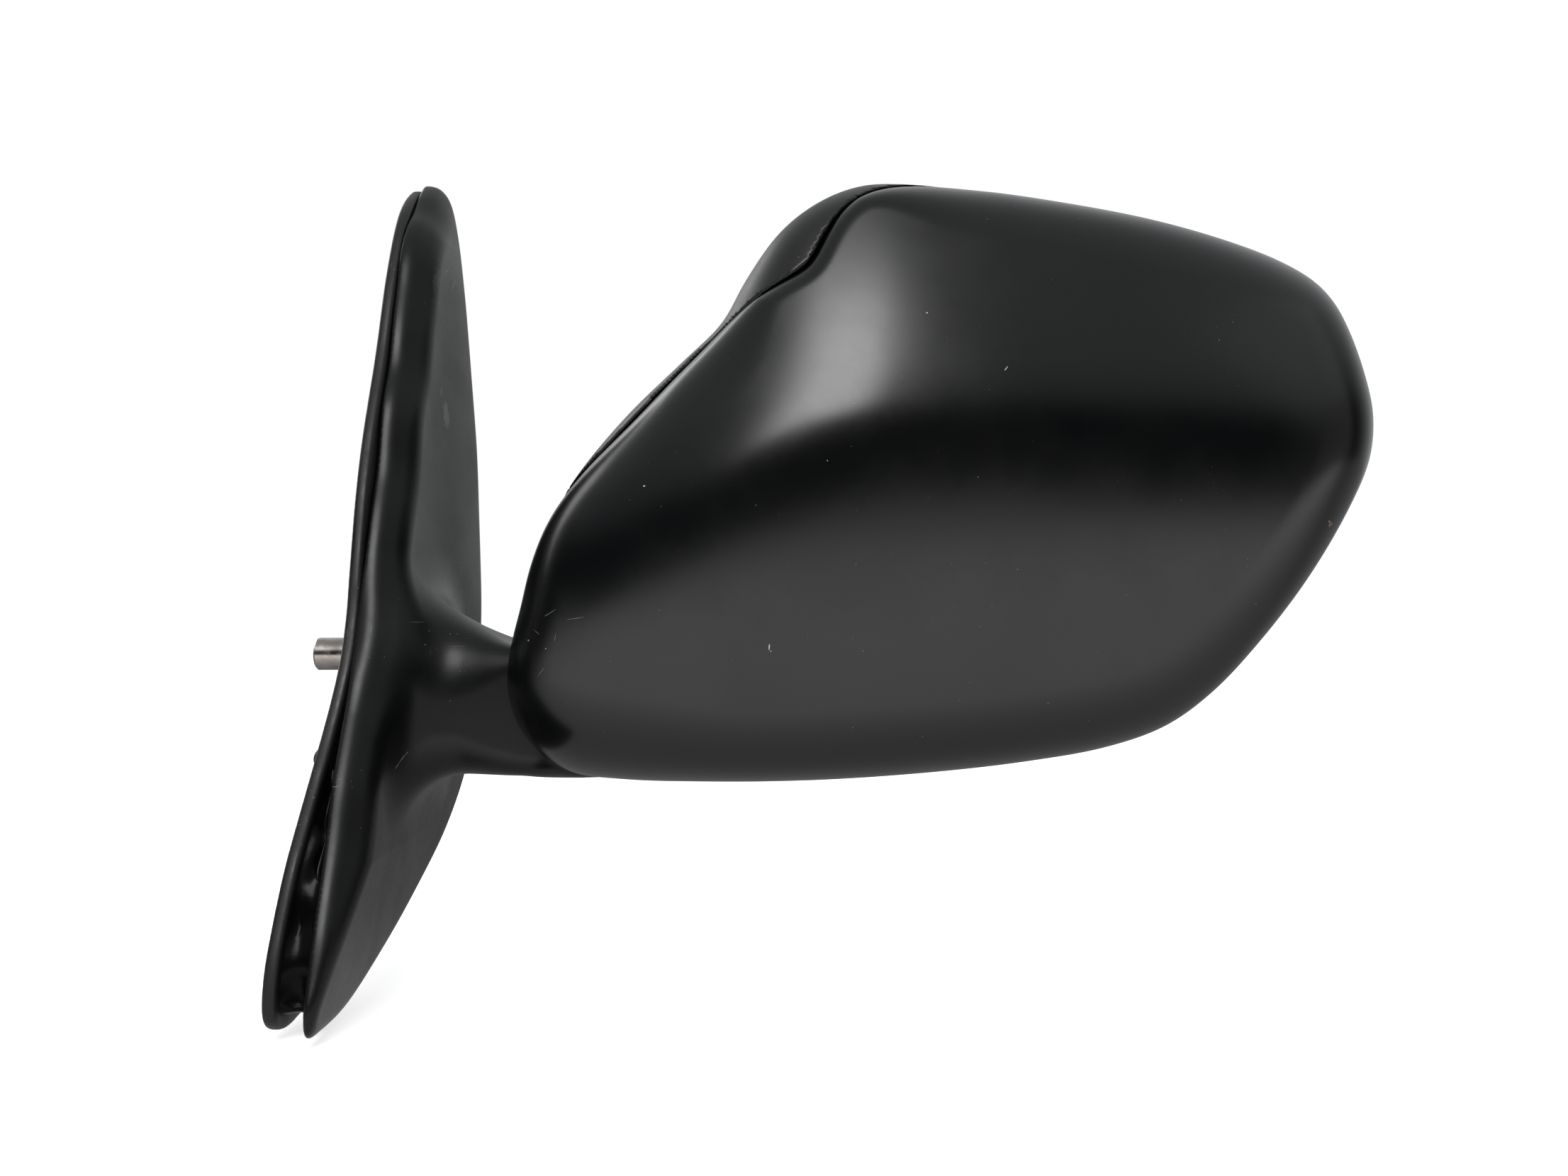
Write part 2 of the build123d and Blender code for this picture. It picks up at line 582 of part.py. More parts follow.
# ---- head frame ----
# webs beyond the panel and openings in it: (x0, x1, z0, z1)
frame_webs = [(82, 104, 6.4, 38), (201, 211, 100, 133), (236, 298, 78, 90),
              (236, 257, 11, 21), (236, 257, 93, 103)]
frame_windows = [(128, 152, 22, 92), (214, 230, 22, 92), (108, 122, 24, 66)]


def head_frame():
    front = -frame_thick
    x0, x1, z0, z1 = 100, 238, 4.5, 104                 # panel
    rib_y, rib_thick = -7, 2.5
    within = plate_y(inset(shell_outline, 7.0), -9, 1)  # keeps the panel inside the shell
    panel = one(box(x0, x1, front, 0, z0, z1) & within)
    frame = one(fold_cyl(4.2, 14.5, 9.8) + box(fold_x, 112, -11, 9, 6.4, 14) + panel)
    for web_x0, web_x1, web_z0, web_z1 in frame_webs:
        frame = frame + box(web_x0, web_x1, front, 0, web_z0, web_z1)
    for hole_x0, hole_x1, hole_z0, hole_z1 in frame_windows:
        frame = frame - box(hole_x0, hole_x1, -6, 3, hole_z0, hole_z1)
    frame = frame + box(x0, x1, rib_y, front, z0, z0 + rib_thick) \
        + one(box(x0, x1, rib_y, front, z1 - rib_thick, z1) & within)
    for posts, pad_r in ((frame_post_xz, 4.6), (housing_posts, 4.4)):
        for x, z in posts:
            frame = frame + cyl_y(x, front, z, pad_r, frame_thick) - cyl_y(x, -8, z, 1.45, 12)
    frame = frame - fold_cyl(-1, tube_r + 0.02, 20)
    for x, z in actuator_screw_xz:
        frame = frame - cyl_y(x, -8, z, 1.2, 12)
    return one(frame - cyl_y(head_cable_x, -8, head_cable_z, 5.0, 12))


# ---- mirror actuator ----
tilt_x, tilt_z = pivot_x, pivot_z - jack_arm            # tilt jack axis, below the ball centre
pan_x, pan_z = pivot_x + jack_arm, pivot_z              # pan jack axis, outboard of it
case_front, case_split, case_rear = 2.0, 11.0, 21.0     # Y
gear_y = case_split
tilt_worm_z = tilt_z - centre_distance                  # tilt worm lies along X
pan_worm_x = pan_x + centre_distance                    # pan worm stands along Z
worm_root_r, worm_tip_r, worm_length = 2.5, 3.5, 12
collar_pitch = 1.26
spindle_r, spindle_length = 1.0, 3.0
# (X, Z)
case_outline = smooth_outline([
    (155, 8), (154, 30), (155, 60), (156, 86), (166, 92), (185, 90), (205, 90), (215, 97),
    (227, 100), (234.5, 95.5), (240.5, 87), (243, 68), (243, 50), (236, 34), (222, 18), (210, 7),
    (190, 4.5), (170, 4)], 36)


def case_half(y0, y1, cavity_y0, cavity_y1):
    return one(plate_y(case_outline, y0, y1)
               - plate_y(inset(case_outline, 1.8), cavity_y0, cavity_y1))


def actuator_case_front():
    y1 = case_split - 0.03
    case = case_half(case_front, y1, case_front + 1.8, y1 + 1)
    for x, z in actuator_screw_xz:
        case = case + cyl_y(x, 0.05, z, 3.6, 10.9) - cyl_y(x, -1, z, pilot_r, 9)
    return one(case + cyl_y(head_cable_x, 0.05, head_cable_z, 4.6, 3)
               - cyl_y(head_cable_x, -1, head_cable_z, 3.0, 8))


def actuator_case_rear():
    y0 = case_split + 0.03
    case = case_half(y0, case_rear, y0 - 1, case_rear - 1.8)
    case = case - cyl_y(tilt_x, 15, tilt_z, 3.4, 12) - cyl_y(pan_x, 15, pan_z, 3.4, 12)
    return one(case + cyl_y(pivot_x, 19, pivot_z, 8.5, 5.2)
               + cyl_y(pivot_x, 19, pivot_z, 7.0, 6.5))


def pivot_post():
    """Foot and half ball, with a cross pin along X."""
    foot_y = 25.52
    post = cyl_y(pivot_x, foot_y, pivot_z, 3.2, 1.2) + ball(pivot_x, pivot_y, pivot_z, 5.0)
    post = post - box(pivot_x - 9, pivot_x + 9, 10, foot_y, pivot_z - 9, pivot_z + 9)
    return one(post + cyl_x(pivot_x - 11.8, pivot_y, pivot_z, 1.5, 23.6))


def gimbal_ring():
    ring = cyl_y(pivot_x, pivot_y - 2.2, pivot_z, 12.6, 4.4) \
        - cyl_y(pivot_x, pivot_y - 4, pivot_z, 8.6, 8) \
        - cyl_x(pivot_x - 20, pivot_y, pivot_z, 1.55, 40)
    for z in (pivot_z + 11.5, pivot_z - 16.5):          # upper and lower pins
        ring = ring + cyl_z(pivot_x, pivot_y, z, 1.5, 5.0)
    return one(ring)


def worm_wheel(x, z):
    """Nut with grooves round it, turning on the jack axis."""
    blank = cyl_y(x, gear_y - 3, z, 9.2, 6)
    grooves = []
    for k in range(wheel_teeth):
        a = 2 * math.pi * (k + 0.5) / wheel_teeth
        grooves.append(cyl_y(x + 9.75 * math.cos(a), gear_y - 4, z + 9.75 * math.sin(a), 0.82, 8))
    return one((blank - grooves) + cyl_y(x, gear_y + 3, z, 5.2, 5.0)
               + cyl_y(x, gear_y - 5.5, z, 5.2, 2.5) - cyl_y(x, 0, z, 3.05, 30))


def drive_plane(axis, across, start):
    """Plane at start along a worm axis ("x" or "z"); across is its other coordinate."""
    if axis == "x":
        return Plane(origin=(start, gear_y, across), z_dir=(1, 0, 0))
    return Plane(origin=(across, gear_y, start), z_dir=(0, 0, 1))


def drive_cyl(axis, across, start, radius, length):
    return Solid.make_cylinder(radius, length, drive_plane(axis, across, start))


def worm(axis, across, middle):
    """Worm with a spindle at each end; the thread is a row of conical collars."""
    start, end = middle - worm_length / 2, middle + worm_length / 2
    solid = drive_cyl(axis, across, start, worm_root_r, worm_length) \
        + drive_cyl(axis, across, end, spindle_r, spindle_length) \
        + drive_cyl(axis, across, start - spindle_length, spindle_r, spindle_length)
    for k in range(int(worm_length / collar_pitch)):
        foot = drive_plane(axis, across, start + 0.4 + collar_pitch * k)
        solid = solid + Solid.make_cone(worm_tip_r, worm_root_r, 0.45, foot)
    return one(solid & drive_cyl(axis, across, start - spindle_length, worm_tip_r,
                                 worm_length + 2 * spindle_length))


def motor(axis, across, start, end, nose, bore, tail):
    """Flat-sided can; nose, bore and tail are where those cylinders start on the axis."""
    if axis == "x":
        flats = box(start, end, gear_y - 5.6, gear_y + 5.6, across - 9, across + 9)
    else:
        flats = box(across - 9, across + 9, gear_y - 5.6, gear_y + 5.6, start, end)
    can = drive_cyl(axis, across, start, 6.8, end - start) & flats
    return one(can + drive_cyl(axis, across, nose, 2.4, 1.2)
               - drive_cyl(axis, across, bore, 1.05, 8.0)
               + drive_cyl(axis, across, tail, 2.0, 1.2))


def tilt_motor():
    start, end = 160.5, 182.0           # shaft end outboard
    return motor("x", tilt_worm_z, start, end, nose=end - 0.1, bore=end - 4.5, tail=start - 1.0)


def pan_motor():
    start, end = 64.5, 88.0             # shaft end down
    return motor("z", pan_worm_x, start, end, nose=start - 1.1, bore=start - 4, tail=end - 0.2)


def jack_rod(x, z):
    """Grooved rod through the worm wheel, ball end in the glass holder."""
    rod = cyl_y(x, 7.6, z, 3.0, 20.5) + ball(x, 29.5, z, 3.6)
    for k in range(9):
        y = 8.6 + 1.7 * k
        rod = rod - (cyl_y(x, y, z, 3.4, 0.7) - cyl_y(x, y, z, 2.6, 0.7))
    return one(rod)


# ---- glass, heater, holder ----
holder_ribs = [(130, 176, 100), (200, 250, 106.4), (120, 170, 0), (214, 240, 10)]  # (x0, x1, z0)


def glass_holder():
    holder = one(plate_y(glass_outline, 33.2, 37.2) - plate_y(inset(glass_outline, 1.3), 35.0, 40))
    for z0 in (pivot_z + 13.4, pivot_z - 16.2):         # lugs on the gimbal pins
        holder = holder + box(pivot_x - 3.4, pivot_x + 3.4, 25.4, 34, z0, z0 + 2.8)
    holder = holder - cyl_z(pivot_x, pivot_y, pivot_z - 20, 1.55, 40)
    # ball sockets: (X, Z, half size along X, half size along Z)
    sockets = [(tilt_x, tilt_z, 5.6, 5.9), (pan_x, pan_z, 5.9, 5.6)]
    for x, z, half_x, half_z in sockets:
        holder = holder + box(x - half_x, x + half_x, 26.4, 34, z - half_z, z + half_z)
    for x, z, _, _ in sockets:
        holder = holder - cyl_y(x, 25.9, z, 4.35, 7.5)
    for x0, x1, z0 in holder_ribs:
        holder = holder + box(x0, x1, 31.2, 33.4, z0, z0 + 1.6)
    return one(holder)


def heater_pad():
    return one(plate_y(inset(glass_outline, 6.0), 35.03, 35.5))


def mirror_glass():
    return one(plate_y(inset(glass_outline, 1.4), 35.53, 37.8))


# ---- wiring ----
def cable(points, radius, bend):
    """Round cable along straight runs joined by bends."""
    path = FilletPolyline(*points, radius=bend)
    section = Wire([Edge.make_circle(radius, Plane(origin=path @ 0, z_dir=path % 0))])
    return one(Solid.sweep(Face(section), path))


def harness_head():
    return cable([(fold_x, 0, -9), (fold_x, 0, 24), (84, -13, 30),
                  (head_cable_x, -13, head_cable_z), (head_cable_x, 1.5, head_cable_z)], 1.9, 6.0)


def harness_base():
    return cable([(fold_x, 0, -12), (fold_x, 0, base_cable_z), (plug_x, 0, base_cable_z),
                  (plug_x, 22, plug_z), (plug_x, 35.8, plug_z)], 2.0, 4.5)


def door_grommet():
    y, z = base_cable_y, base_cable_z
    return one(cyl_x(-4.6, y, z, 5.9, 8.5) + cyl_x(-6.6, y, z, 8.0, 2.0)
               - cyl_x(-10, y, z, 2.35, 30))


def harness_connector():
    body = Pos(plug_x, 46, plug_z) * Box(11, 20, 17)
    return one(body - Pos(plug_x, 54, plug_z) * Box(8, 6, 14))


# ---- build and write ----
parts = {
    "mounting_inserts": Compound([mounting_insert(*boss) for boss in bosses]),
    "worm_wheel_tilt": worm_wheel(tilt_x, tilt_z),
    "worm_wheel_pan": worm_wheel(pan_x, pan_z),
    "worm_tilt": worm("x", tilt_worm_z, tilt_x),
    "worm_pan": worm("z", pan_worm_x, pan_z),
    "jack_rod_tilt": jack_rod(tilt_x, tilt_z),
    "jack_rod_pan": jack_rod(pan_x, pan_z),
}
for build in (front_shell, rear_housing, base_cover, base_gasket, base_bracket, cover_screws,
              detent_ring_lower, detent_ring_upper, pivot_tube, thrust_washer, fold_spring,
              spring_retainer, pivot_cap, head_frame, frame_screws, housing_screws,
              actuator_case_front, actuator_case_rear, actuator_screws, pivot_post, gimbal_ring,
              tilt_motor, pan_motor, glass_holder, heater_pad, mirror_glass, harness_head,
              harness_base, door_grommet, harness_connector):
    parts[build.__name__] = build()

os.makedirs("parts", exist_ok=True)
for name, shape in parts.items():
    export_step(shape, f"parts/{name}.step")
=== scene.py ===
"""A folding door mirror: a base leaf on the door, an arm, and a head that folds about a post.

Shapes are in millimetres and become metres in add_skin. X runs outboard from the door, -Y is the
front (the painted shell), +Y the back (the glass side), +Z is up. The base lies in the YZ plane
near x = 0, the fold axis is vertical at x = 69, y = 0, and the head reaches out to x = 306.
"""

import math
from itertools import product

import bpy
import numpy as np
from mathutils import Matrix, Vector


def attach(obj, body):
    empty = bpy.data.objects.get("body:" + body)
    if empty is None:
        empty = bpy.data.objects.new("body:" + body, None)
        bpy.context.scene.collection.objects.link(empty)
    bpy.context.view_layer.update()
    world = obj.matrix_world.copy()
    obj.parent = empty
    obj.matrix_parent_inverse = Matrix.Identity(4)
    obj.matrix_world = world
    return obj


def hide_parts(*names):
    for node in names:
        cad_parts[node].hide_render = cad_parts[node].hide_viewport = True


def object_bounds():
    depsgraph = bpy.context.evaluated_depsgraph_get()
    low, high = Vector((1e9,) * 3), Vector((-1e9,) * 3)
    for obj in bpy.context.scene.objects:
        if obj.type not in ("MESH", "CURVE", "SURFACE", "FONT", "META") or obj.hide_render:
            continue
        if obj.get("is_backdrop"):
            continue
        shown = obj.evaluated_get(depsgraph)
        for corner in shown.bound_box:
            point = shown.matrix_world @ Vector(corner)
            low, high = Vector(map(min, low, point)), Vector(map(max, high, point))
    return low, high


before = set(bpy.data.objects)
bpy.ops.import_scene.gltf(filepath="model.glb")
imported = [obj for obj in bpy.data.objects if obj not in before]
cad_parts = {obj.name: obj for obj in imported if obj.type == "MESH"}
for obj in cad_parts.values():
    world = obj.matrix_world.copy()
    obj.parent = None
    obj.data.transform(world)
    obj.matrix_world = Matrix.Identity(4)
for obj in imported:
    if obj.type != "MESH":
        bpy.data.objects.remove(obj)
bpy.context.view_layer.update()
rng = np.random.default_rng(7)

MM = 0.001
MM_PER_METRE = 1000.0

FOLD_X = 69.0               # the fold axis stands at y = 0
POCKET_RADIUS = 26.0        # pocket in the head round the fold axis
POCKET_HALF = 22.5          # half width of the slot the arm sweeps through
SWEEP_ANGLE = math.radians(180 - 58.0)
KNUCKLE_RADIUS = 24.0       # outer end of the arm
ARM_HALF = 20.0
ARM_BOTTOM = -36.0
SHELL_WALL = 2.5
HOUSING_WALL = 2.4
COVER_WALL = 2.5
HOUSING_BACK = 43.0         # y of the rearmost housing face
GLASS_GAP = 3.0
GASKET_MID = 1.98           # from the door surface to the middle of the gasket
GASKET_HALF = 1.94
FACE_SLOPE_UP = 0.42        # front face slopes above and below its ridge
FACE_SLOPE_LOW = 0.16
FACE_ROUNDING = 18.0


# ---------------------------------------------------------------- outlines and curves
def smooth_outline(points, count=720, rounds=10, fine=2400):
    """Centripetal Catmull-Rom loop, evenly resampled, then lightly smoothed."""
    points = np.array(points, float)
    total = len(points)
    curve = []
    for i in range(total):
        p0, p1, p2, p3 = (points[(i + k) % total] for k in (-1, 0, 1, 2))
        t1 = max(np.linalg.norm(p1 - p0), 1e-6) ** 0.5
        t2 = t1 + max(np.linalg.norm(p2 - p1), 1e-6) ** 0.5
        t3 = t2 + max(np.linalg.norm(p3 - p2), 1e-6) ** 0.5
        for t in np.linspace(t1, t2, fine // total, endpoint=False):
            first = (t1 - t) / t1 * p0 + t / t1 * p1
            middle = (t2 - t) / (t2 - t1) * p1 + (t - t1) / (t2 - t1) * p2
            last = (t3 - t) / (t3 - t2) * p2 + (t - t2) / (t3 - t2) * p3
            near = (t2 - t) / t2 * first + t / t2 * middle
            far = (t3 - t) / (t3 - t1) * middle + (t - t1) / (t3 - t1) * last
            curve.append((t2 - t) / (t2 - t1) * near + (t - t1) / (t2 - t1) * far)
    curve = np.array(curve)
    lengths = np.linalg.norm(np.roll(curve, -1, 0) - curve, axis=1)
    along = np.concatenate([[0], np.cumsum(lengths)])
    loop = np.vstack([curve, curve[:1]])
    stations = np.linspace(0, along[-1], count, endpoint=False)
    curve = np.stack([np.interp(stations, along, loop[:, k]) for k in range(2)], 1)
    for _ in range(rounds):
        curve = 0.25 * np.roll(curve, 1, 0) + 0.5 * curve + 0.25 * np.roll(curve, -1, 0)
    return curve


class OutlineDistance:
    """Signed distance to a closed outline, negative inside, read bilinearly from a grid."""
    pitch = 0.7
    batch = 6000

    def __init__(self, outline, margin=34.0):
        self.low = outline.min(0) - margin
        size = np.ceil((outline.max(0) + margin - self.low) / self.pitch).astype(int) + 2
        axes = [self.low[k] + self.pitch * np.arange(size[k]) for k in range(2)]
        nodes = np.stack(np.meshgrid(*axes, indexing="ij"), -1).reshape(-1, 2)
        start = outline[::2]
        end = np.roll(start, -1, 0)
        span = end - start
        span_squared = (span * span).sum(1)
        rise = np.where(np.abs(span[:, 1]) < 1e-12, 1e-12, span[:, 1])
        nearest = np.empty(len(nodes))
        inside = np.zeros(len(nodes), bool)
        for first in range(0, len(nodes), self.batch):
            part = slice(first, first + self.batch)
            at = nodes[part]
            share = np.clip(((at[:, None, :] - start) * span).sum(2) / span_squared, 0, 1)
            gap = at[:, None, :] - start - share[:, :, None] * span
            nearest[part] = np.sqrt((gap * gap).sum(2).min(1))
            level = at[:, 1:2]
            spans_level = (start[:, 1] <= level) != (end[:, 1] <= level)
            crossing = start[:, 0] + (level - start[:, 1]) / rise * span[:, 0]
            inside[part] = ((spans_level & (crossing > at[:, 0:1])).sum(1) % 2) == 1
        grid = np.where(inside, -nearest, nearest).reshape(size[0], size[1])
        for _ in range(3):
            pad = np.pad(grid, 1, mode="edge")
            sides = pad[:-2, 1:-1] + pad[2:, 1:-1] + pad[1:-1, :-2] + pad[1:-1, 2:]
            grid = (4 * grid + 2 * sides + pad[:-2, :-2] + pad[2:, 2:]
                    + pad[:-2, 2:] + pad[2:, :-2]) / 16
        self.grid = grid

    def __call__(self, across, up):
        grid = self.grid
        col = np.clip((across - self.low[0]) / self.pitch, 0, grid.shape[0] - 1.001)
        row = np.clip((up - self.low[1]) / self.pitch, 0, grid.shape[1] - 1.001)
        i = col.astype(np.int32)
        j = row.astype(np.int32)
        part_i = col - i
        part_j = row - j
        lower = grid[i, j] * (1 - part_i) + grid[i + 1, j] * part_i
        upper = grid[i, j + 1] * (1 - part_i) + grid[i + 1, j + 1] * part_i
        return lower * (1 - part_j) + upper * part_j


def smoothstep(value, start, end):
    t = np.clip((value - start) / (end - start), 0, 1)
    return t * t * (3 - 2 * t)


def soft_max(a, b, blend):
    """Intersection of two fields with a rounded corner."""
    near = np.maximum(blend - np.abs(a - b), 0) / blend
    return np.maximum(a, b) + near * near * blend * 0.25


def soft_min(a, b, blend):
    return -soft_max(-a, -b, blend)


def station_curve(stations, width):
    """Lookup through (position, value) stations, averaged twice over a window."""
    stations = np.array(stations, float)
    places = np.linspace(stations[0, 0] - 40, stations[-1, 0] + 40, 900)
    values = np.interp(places, stations[:, 0], stations[:, 1])
    window = max(3, int(width / (places[1] - places[0])) | 1)
    for _ in range(2):
        padded = np.pad(values, window // 2, mode="edge")
        values = np.convolve(padded, np.ones(window) / window, mode="valid")
    return lambda place: np.interp(place, places, values)


# Head outlines, (x, z)
shell_outline = smooth_outline([
    (168, 138.2), (187, 138.0), (212, 135.2), (238, 131.2), (263, 125.7), (280, 120.6),
    (291, 115), (297.5, 108), (301.8, 98), (305.2, 83), (306.2, 72), (304, 58), (297, 43),
    (284, 22.5), (268, 3), (254, -11), (240, -20.5), (222, -26.4), (200, -30), (174, -32.8),
    (140, -35), (108, -35.6), (82, -35.6), (66, -34), (56, -28), (49.5, -19.5), (46.6, -9),
    (47.6, 1), (51.3, 14), (55, 27), (61, 40), (70, 52), (85, 67.3), (102, 84.5), (117, 98.6),
    (129, 106.8), (135.4, 110.8), (139.4, 118.2), (145, 127.4), (154.5, 134.5)])
housing_outline = smooth_outline([
    (164, 140.5), (187, 139.0), (212, 135.9), (238, 132), (263, 126.4), (280, 121.2),
    (291, 115.6), (297.9, 108.4), (302.2, 98), (305.6, 83), (306.6, 72), (304.4, 58),
    (297.4, 43), (284.4, 22.3), (268.4, 2.6), (254.4, -11.4), (240, -21), (222, -26.9),
    (200, -30.5), (174, -33.3), (140, -35.5), (108, -36), (84, -35.6), (67, -33.5),
    (57, -27.5), (51, -19), (48.6, -9), (49.2, 1), (52.3, 14), (55.2, 28.5), (60.6, 41.5),
    (67.6, 53.2), (82, 70.4), (99.5, 87.2), (110.6, 98), (117.2, 110), (128, 125),
    (140.5, 134.8), (152, 139.6)])
glass_outline = smooth_outline([
    (101, 22), (100, 0), (104, -14), (116, -20.5), (145, -21.5), (195, -17.5), (228, -11.5),
    (247, 0), (264, 22), (280, 48), (288, 72), (286, 92), (276, 104.5), (255, 111),
    (215, 119), (182, 124.5), (156, 124), (138, 114), (122, 92), (108, 58)])

# Base outlines, (y, z)
leaf_outline = smooth_outline([
    (66, 155), (62, 161), (53, 156.5), (42, 147), (34, 140.6), (26, 130.6), (20.6, 118),
    (15, 105), (10, 91), (2, 77), (-4, 57), (-11, 43), (-18, 26), (-22, 14), (-27, 2),
    (-34, -10), (-43, -24), (-49, -34), (-54.5, -47), (-61, -60), (-67, -72), (-71, -82),
    (-74.5, -92), (-73, -97.5), (-64, -98.6), (-40, -98), (-9, -90), (20, -79), (46, -66),
    (62, -50), (68, -30), (69, 0), (69, 40), (69, 80), (68.5, 120), (68, 142)])
gasket_outline = smooth_outline([
    (66, 153), (61, 158.5), (53, 156), (38, 145.6), (23, 123.5), (9, 93.8), (-6, 65.5),
    (-13, 47.8), (-20, 22.3), (-22, 13.9), (-33, -10.3), (-42, -25.6), (-50, -40.3),
    (-58, -54.5), (-64, -68.5), (-69, -82.3), (-69, -94), (-62, -98), (-40, -97), (-9, -89),
    (20, -78), (46, -65), (61, -49), (67, -30), (68, 0), (68, 40), (68, 80), (67.5, 120),
    (67, 142)])

shell_distance = OutlineDistance(shell_outline)
housing_distance = OutlineDistance(housing_outline)
glass_distance = OutlineDistance(glass_outline, margin=12)
leaf_distance = OutlineDistance(leaf_outline, margin=16)
gasket_distance = OutlineDistance(gasket_outline, margin=14)

# z of the front face's ridge, and y of that ridge, at each x
ridge_z = station_curve([
    (40, 8), (60, 18), (76, 28), (99, 42), (118, 54), (137, 62.5), (157, 67.5), (186, 69.5),
    (225, 67.5), (288, 64), (320, 62)], width=22)
ridge_y = station_curve([
    (40, -38), (60, -50), (80, -56.5), (110, -61.5), (150, -63), (190, -60.5), (230, -55),
    (270, -45.5), (306, -32), (320, -26)], width=26)
# Height of the leaf's face in x, and y of its front edge, at each z
leaf_height = station_curve([
    (-100, 6), (-89, 8.6), (-75, 12.5), (-60, 16.0), (-36, 21), (0, 25), (15, 25.6),
    (67, 24.0), (121, 19.0), (150, 15.0), (165, 12.5)], width=16)
leaf_front_y = station_curve([
    (-97, -74), (-60, -61), (-24, -43), (2, -27), (26, -18), (57, -4), (91, 10),
    (118, 20.6), (140, 34), (161, 62)], width=10)
# z of the arm's top at each x
arm_top_z = station_curve([
    (0, 12), (18, 14.0), (25, 13.8), (31, 11.5), (38, 7.4), (46, 3.6), (54, 2.2), (62, 2.0),
    (100, 2.0)], width=5)
# x of the door surface at each z
door_x = station_curve([
    (-104, -8.8), (-83, -8.4), (-69, -7.5), (-55, -6.2), (-40, -4.4), (-26, -2.5),
    (-10, -0.9), (0, 0), (20, 0), (165, 0)], width=8)
# Holes through the gasket: y, z, radius
GASKET_HOLES = [
    (0, 0, 5.6), (48, 98, 5.6), (48, -38, 5.6), (0, -30, 6.1), (34, 52, 17), (-6, -66, 13),
    (40, -2, 14)]


# ---------------------------------------------------------------- fields of the pieces
def hollow(outer, wall, blend):
    return soft_max(outer, -(outer + wall), blend)


def parting_y(x):
    """Where the front shell ends and the housing begins."""
    return -20 + 12 * smoothstep(x, 78, 130) + 9 * smoothstep(x, 125, 190)


def face_y(x, z):
    above = z - ridge_z(x)
    rounded = np.sqrt(above * above + FACE_ROUNDING * FACE_ROUNDING) - FACE_ROUNDING
    return (ridge_y(x) + (FACE_SLOPE_UP + FACE_SLOPE_LOW) / 2 * rounded
            + (FACE_SLOPE_UP - FACE_SLOPE_LOW) / 2 * above)


def pocket_field(x, y, z, grow=0.0):
    """Space round the fold axis, with the slot the arm sweeps through."""
    radius = np.hypot(x - FOLD_X, y)
    swung = (x - FOLD_X) * math.sin(SWEEP_ANGLE) + y * -math.cos(SWEEP_ANGLE) - POCKET_HALF
    sweep = np.minimum(np.maximum(np.maximum(x - FOLD_X, -POCKET_HALF - y), swung),
                       np.maximum(-y, swung))
    low = np.maximum(soft_min(radius - POCKET_RADIUS, sweep, 2.0), z - 3.6)
    high = np.maximum(np.maximum(sweep, 21.0 - radius), np.maximum(x - 73, z - 24))
    return soft_min(low, high, 1.5) - grow


def shoulder_blend(x, z):
    """Rounding between the shell's face and rim, tight at the upper inboard corner."""
    blend = (22 + 7 * smoothstep(-x, -125, -60) * smoothstep(-z, -40, 10)
             + 3 * smoothstep(x, 240, 300))
    blend = blend - 7 * smoothstep(z, 14, 50) * smoothstep(-x, -125, -95)
    corner = np.exp(-((x - 128) / 30) ** 2 - ((z - 112) / 26) ** 2)
    second = np.exp(-((x - 147) / 20) ** 2 - ((z - 128) / 17) ** 2)
    corner = 1 - (1 - corner) * (1 - 0.75 * second)
    return blend + (6.0 - blend) * np.minimum(1.0, 1.25 * corner)


def front_shell_field(x, y, z):
    outer = soft_max(shell_distance(x, z), (face_y(x, z) - y) * 0.93, shoulder_blend(x, z))
    skin = hollow(outer, SHELL_WALL, 0.5)
    skin = soft_max(skin, y - parting_y(x), 0.9)
    return soft_max(skin, -pocket_field(x, y, z), 0.9)


def housing_outer_field(x, y, z):
    depth = np.clip((y - 6) / (HOUSING_BACK - 6), 0, 1)
    taper = (1.5 + 11 * smoothstep(-x, -135, -72)) * depth ** 1.6
    corner = np.exp(-((x - 138) / 26) ** 2 - ((z - 122) / 24) ** 2)
    outer = soft_max(housing_distance(x, z) + taper, (face_y(x, z) + 1.6 - y) * 0.93,
                     24.0 - 9.0 * corner)
    outer = soft_max(outer, y - HOUSING_BACK, 7.0)
    # Rebate that the front shell sits in
    inset = 0.12 + 1.8 * np.maximum(smoothstep(x, 178, 200), smoothstep(-z, -60, -42))
    rebate = soft_max(shell_distance(x, z) - inset, y - parting_y(x) - 0.3, 0.2)
    return soft_max(outer, -rebate, 0.5)


def rear_housing_field(x, y, z):
    outer = housing_outer_field(x, y, z)
    skin = hollow(outer, HOUSING_WALL, 0.5)
    to_opening = glass_distance(x, z) - GLASS_GAP
    opening = np.maximum(to_opening,
                         np.minimum(shell_distance(x, z) + 3.0, parting_y(x) + 4.5 - y))
    skin = soft_max(skin, -opening, 2.6)
    # 2 mm wall round the glass opening
    bowl = soft_max(soft_max(np.abs(to_opening - 1.0) - 1.0, 16.0 - y, 0.6), y - 41.0, 0.6)
    skin = soft_min(skin, soft_max(bowl, outer + 0.6, 0.3), 1.6)
    # Wall round the pocket, then the pocket and a hole on the fold axis
    pocket_wall = pocket_field(x, y, z, grow=2.2)
    skin = soft_min(skin, soft_max(pocket_wall, outer + 0.5, 0.4), 0.8)
    skin = soft_max(skin, -pocket_field(x, y, z), 0.8)
    hole = np.maximum(np.hypot(x - FOLD_X, y) - 16.0, np.abs(z - 3) - 9.0)
    return soft_max(skin, -hole, 0.6)


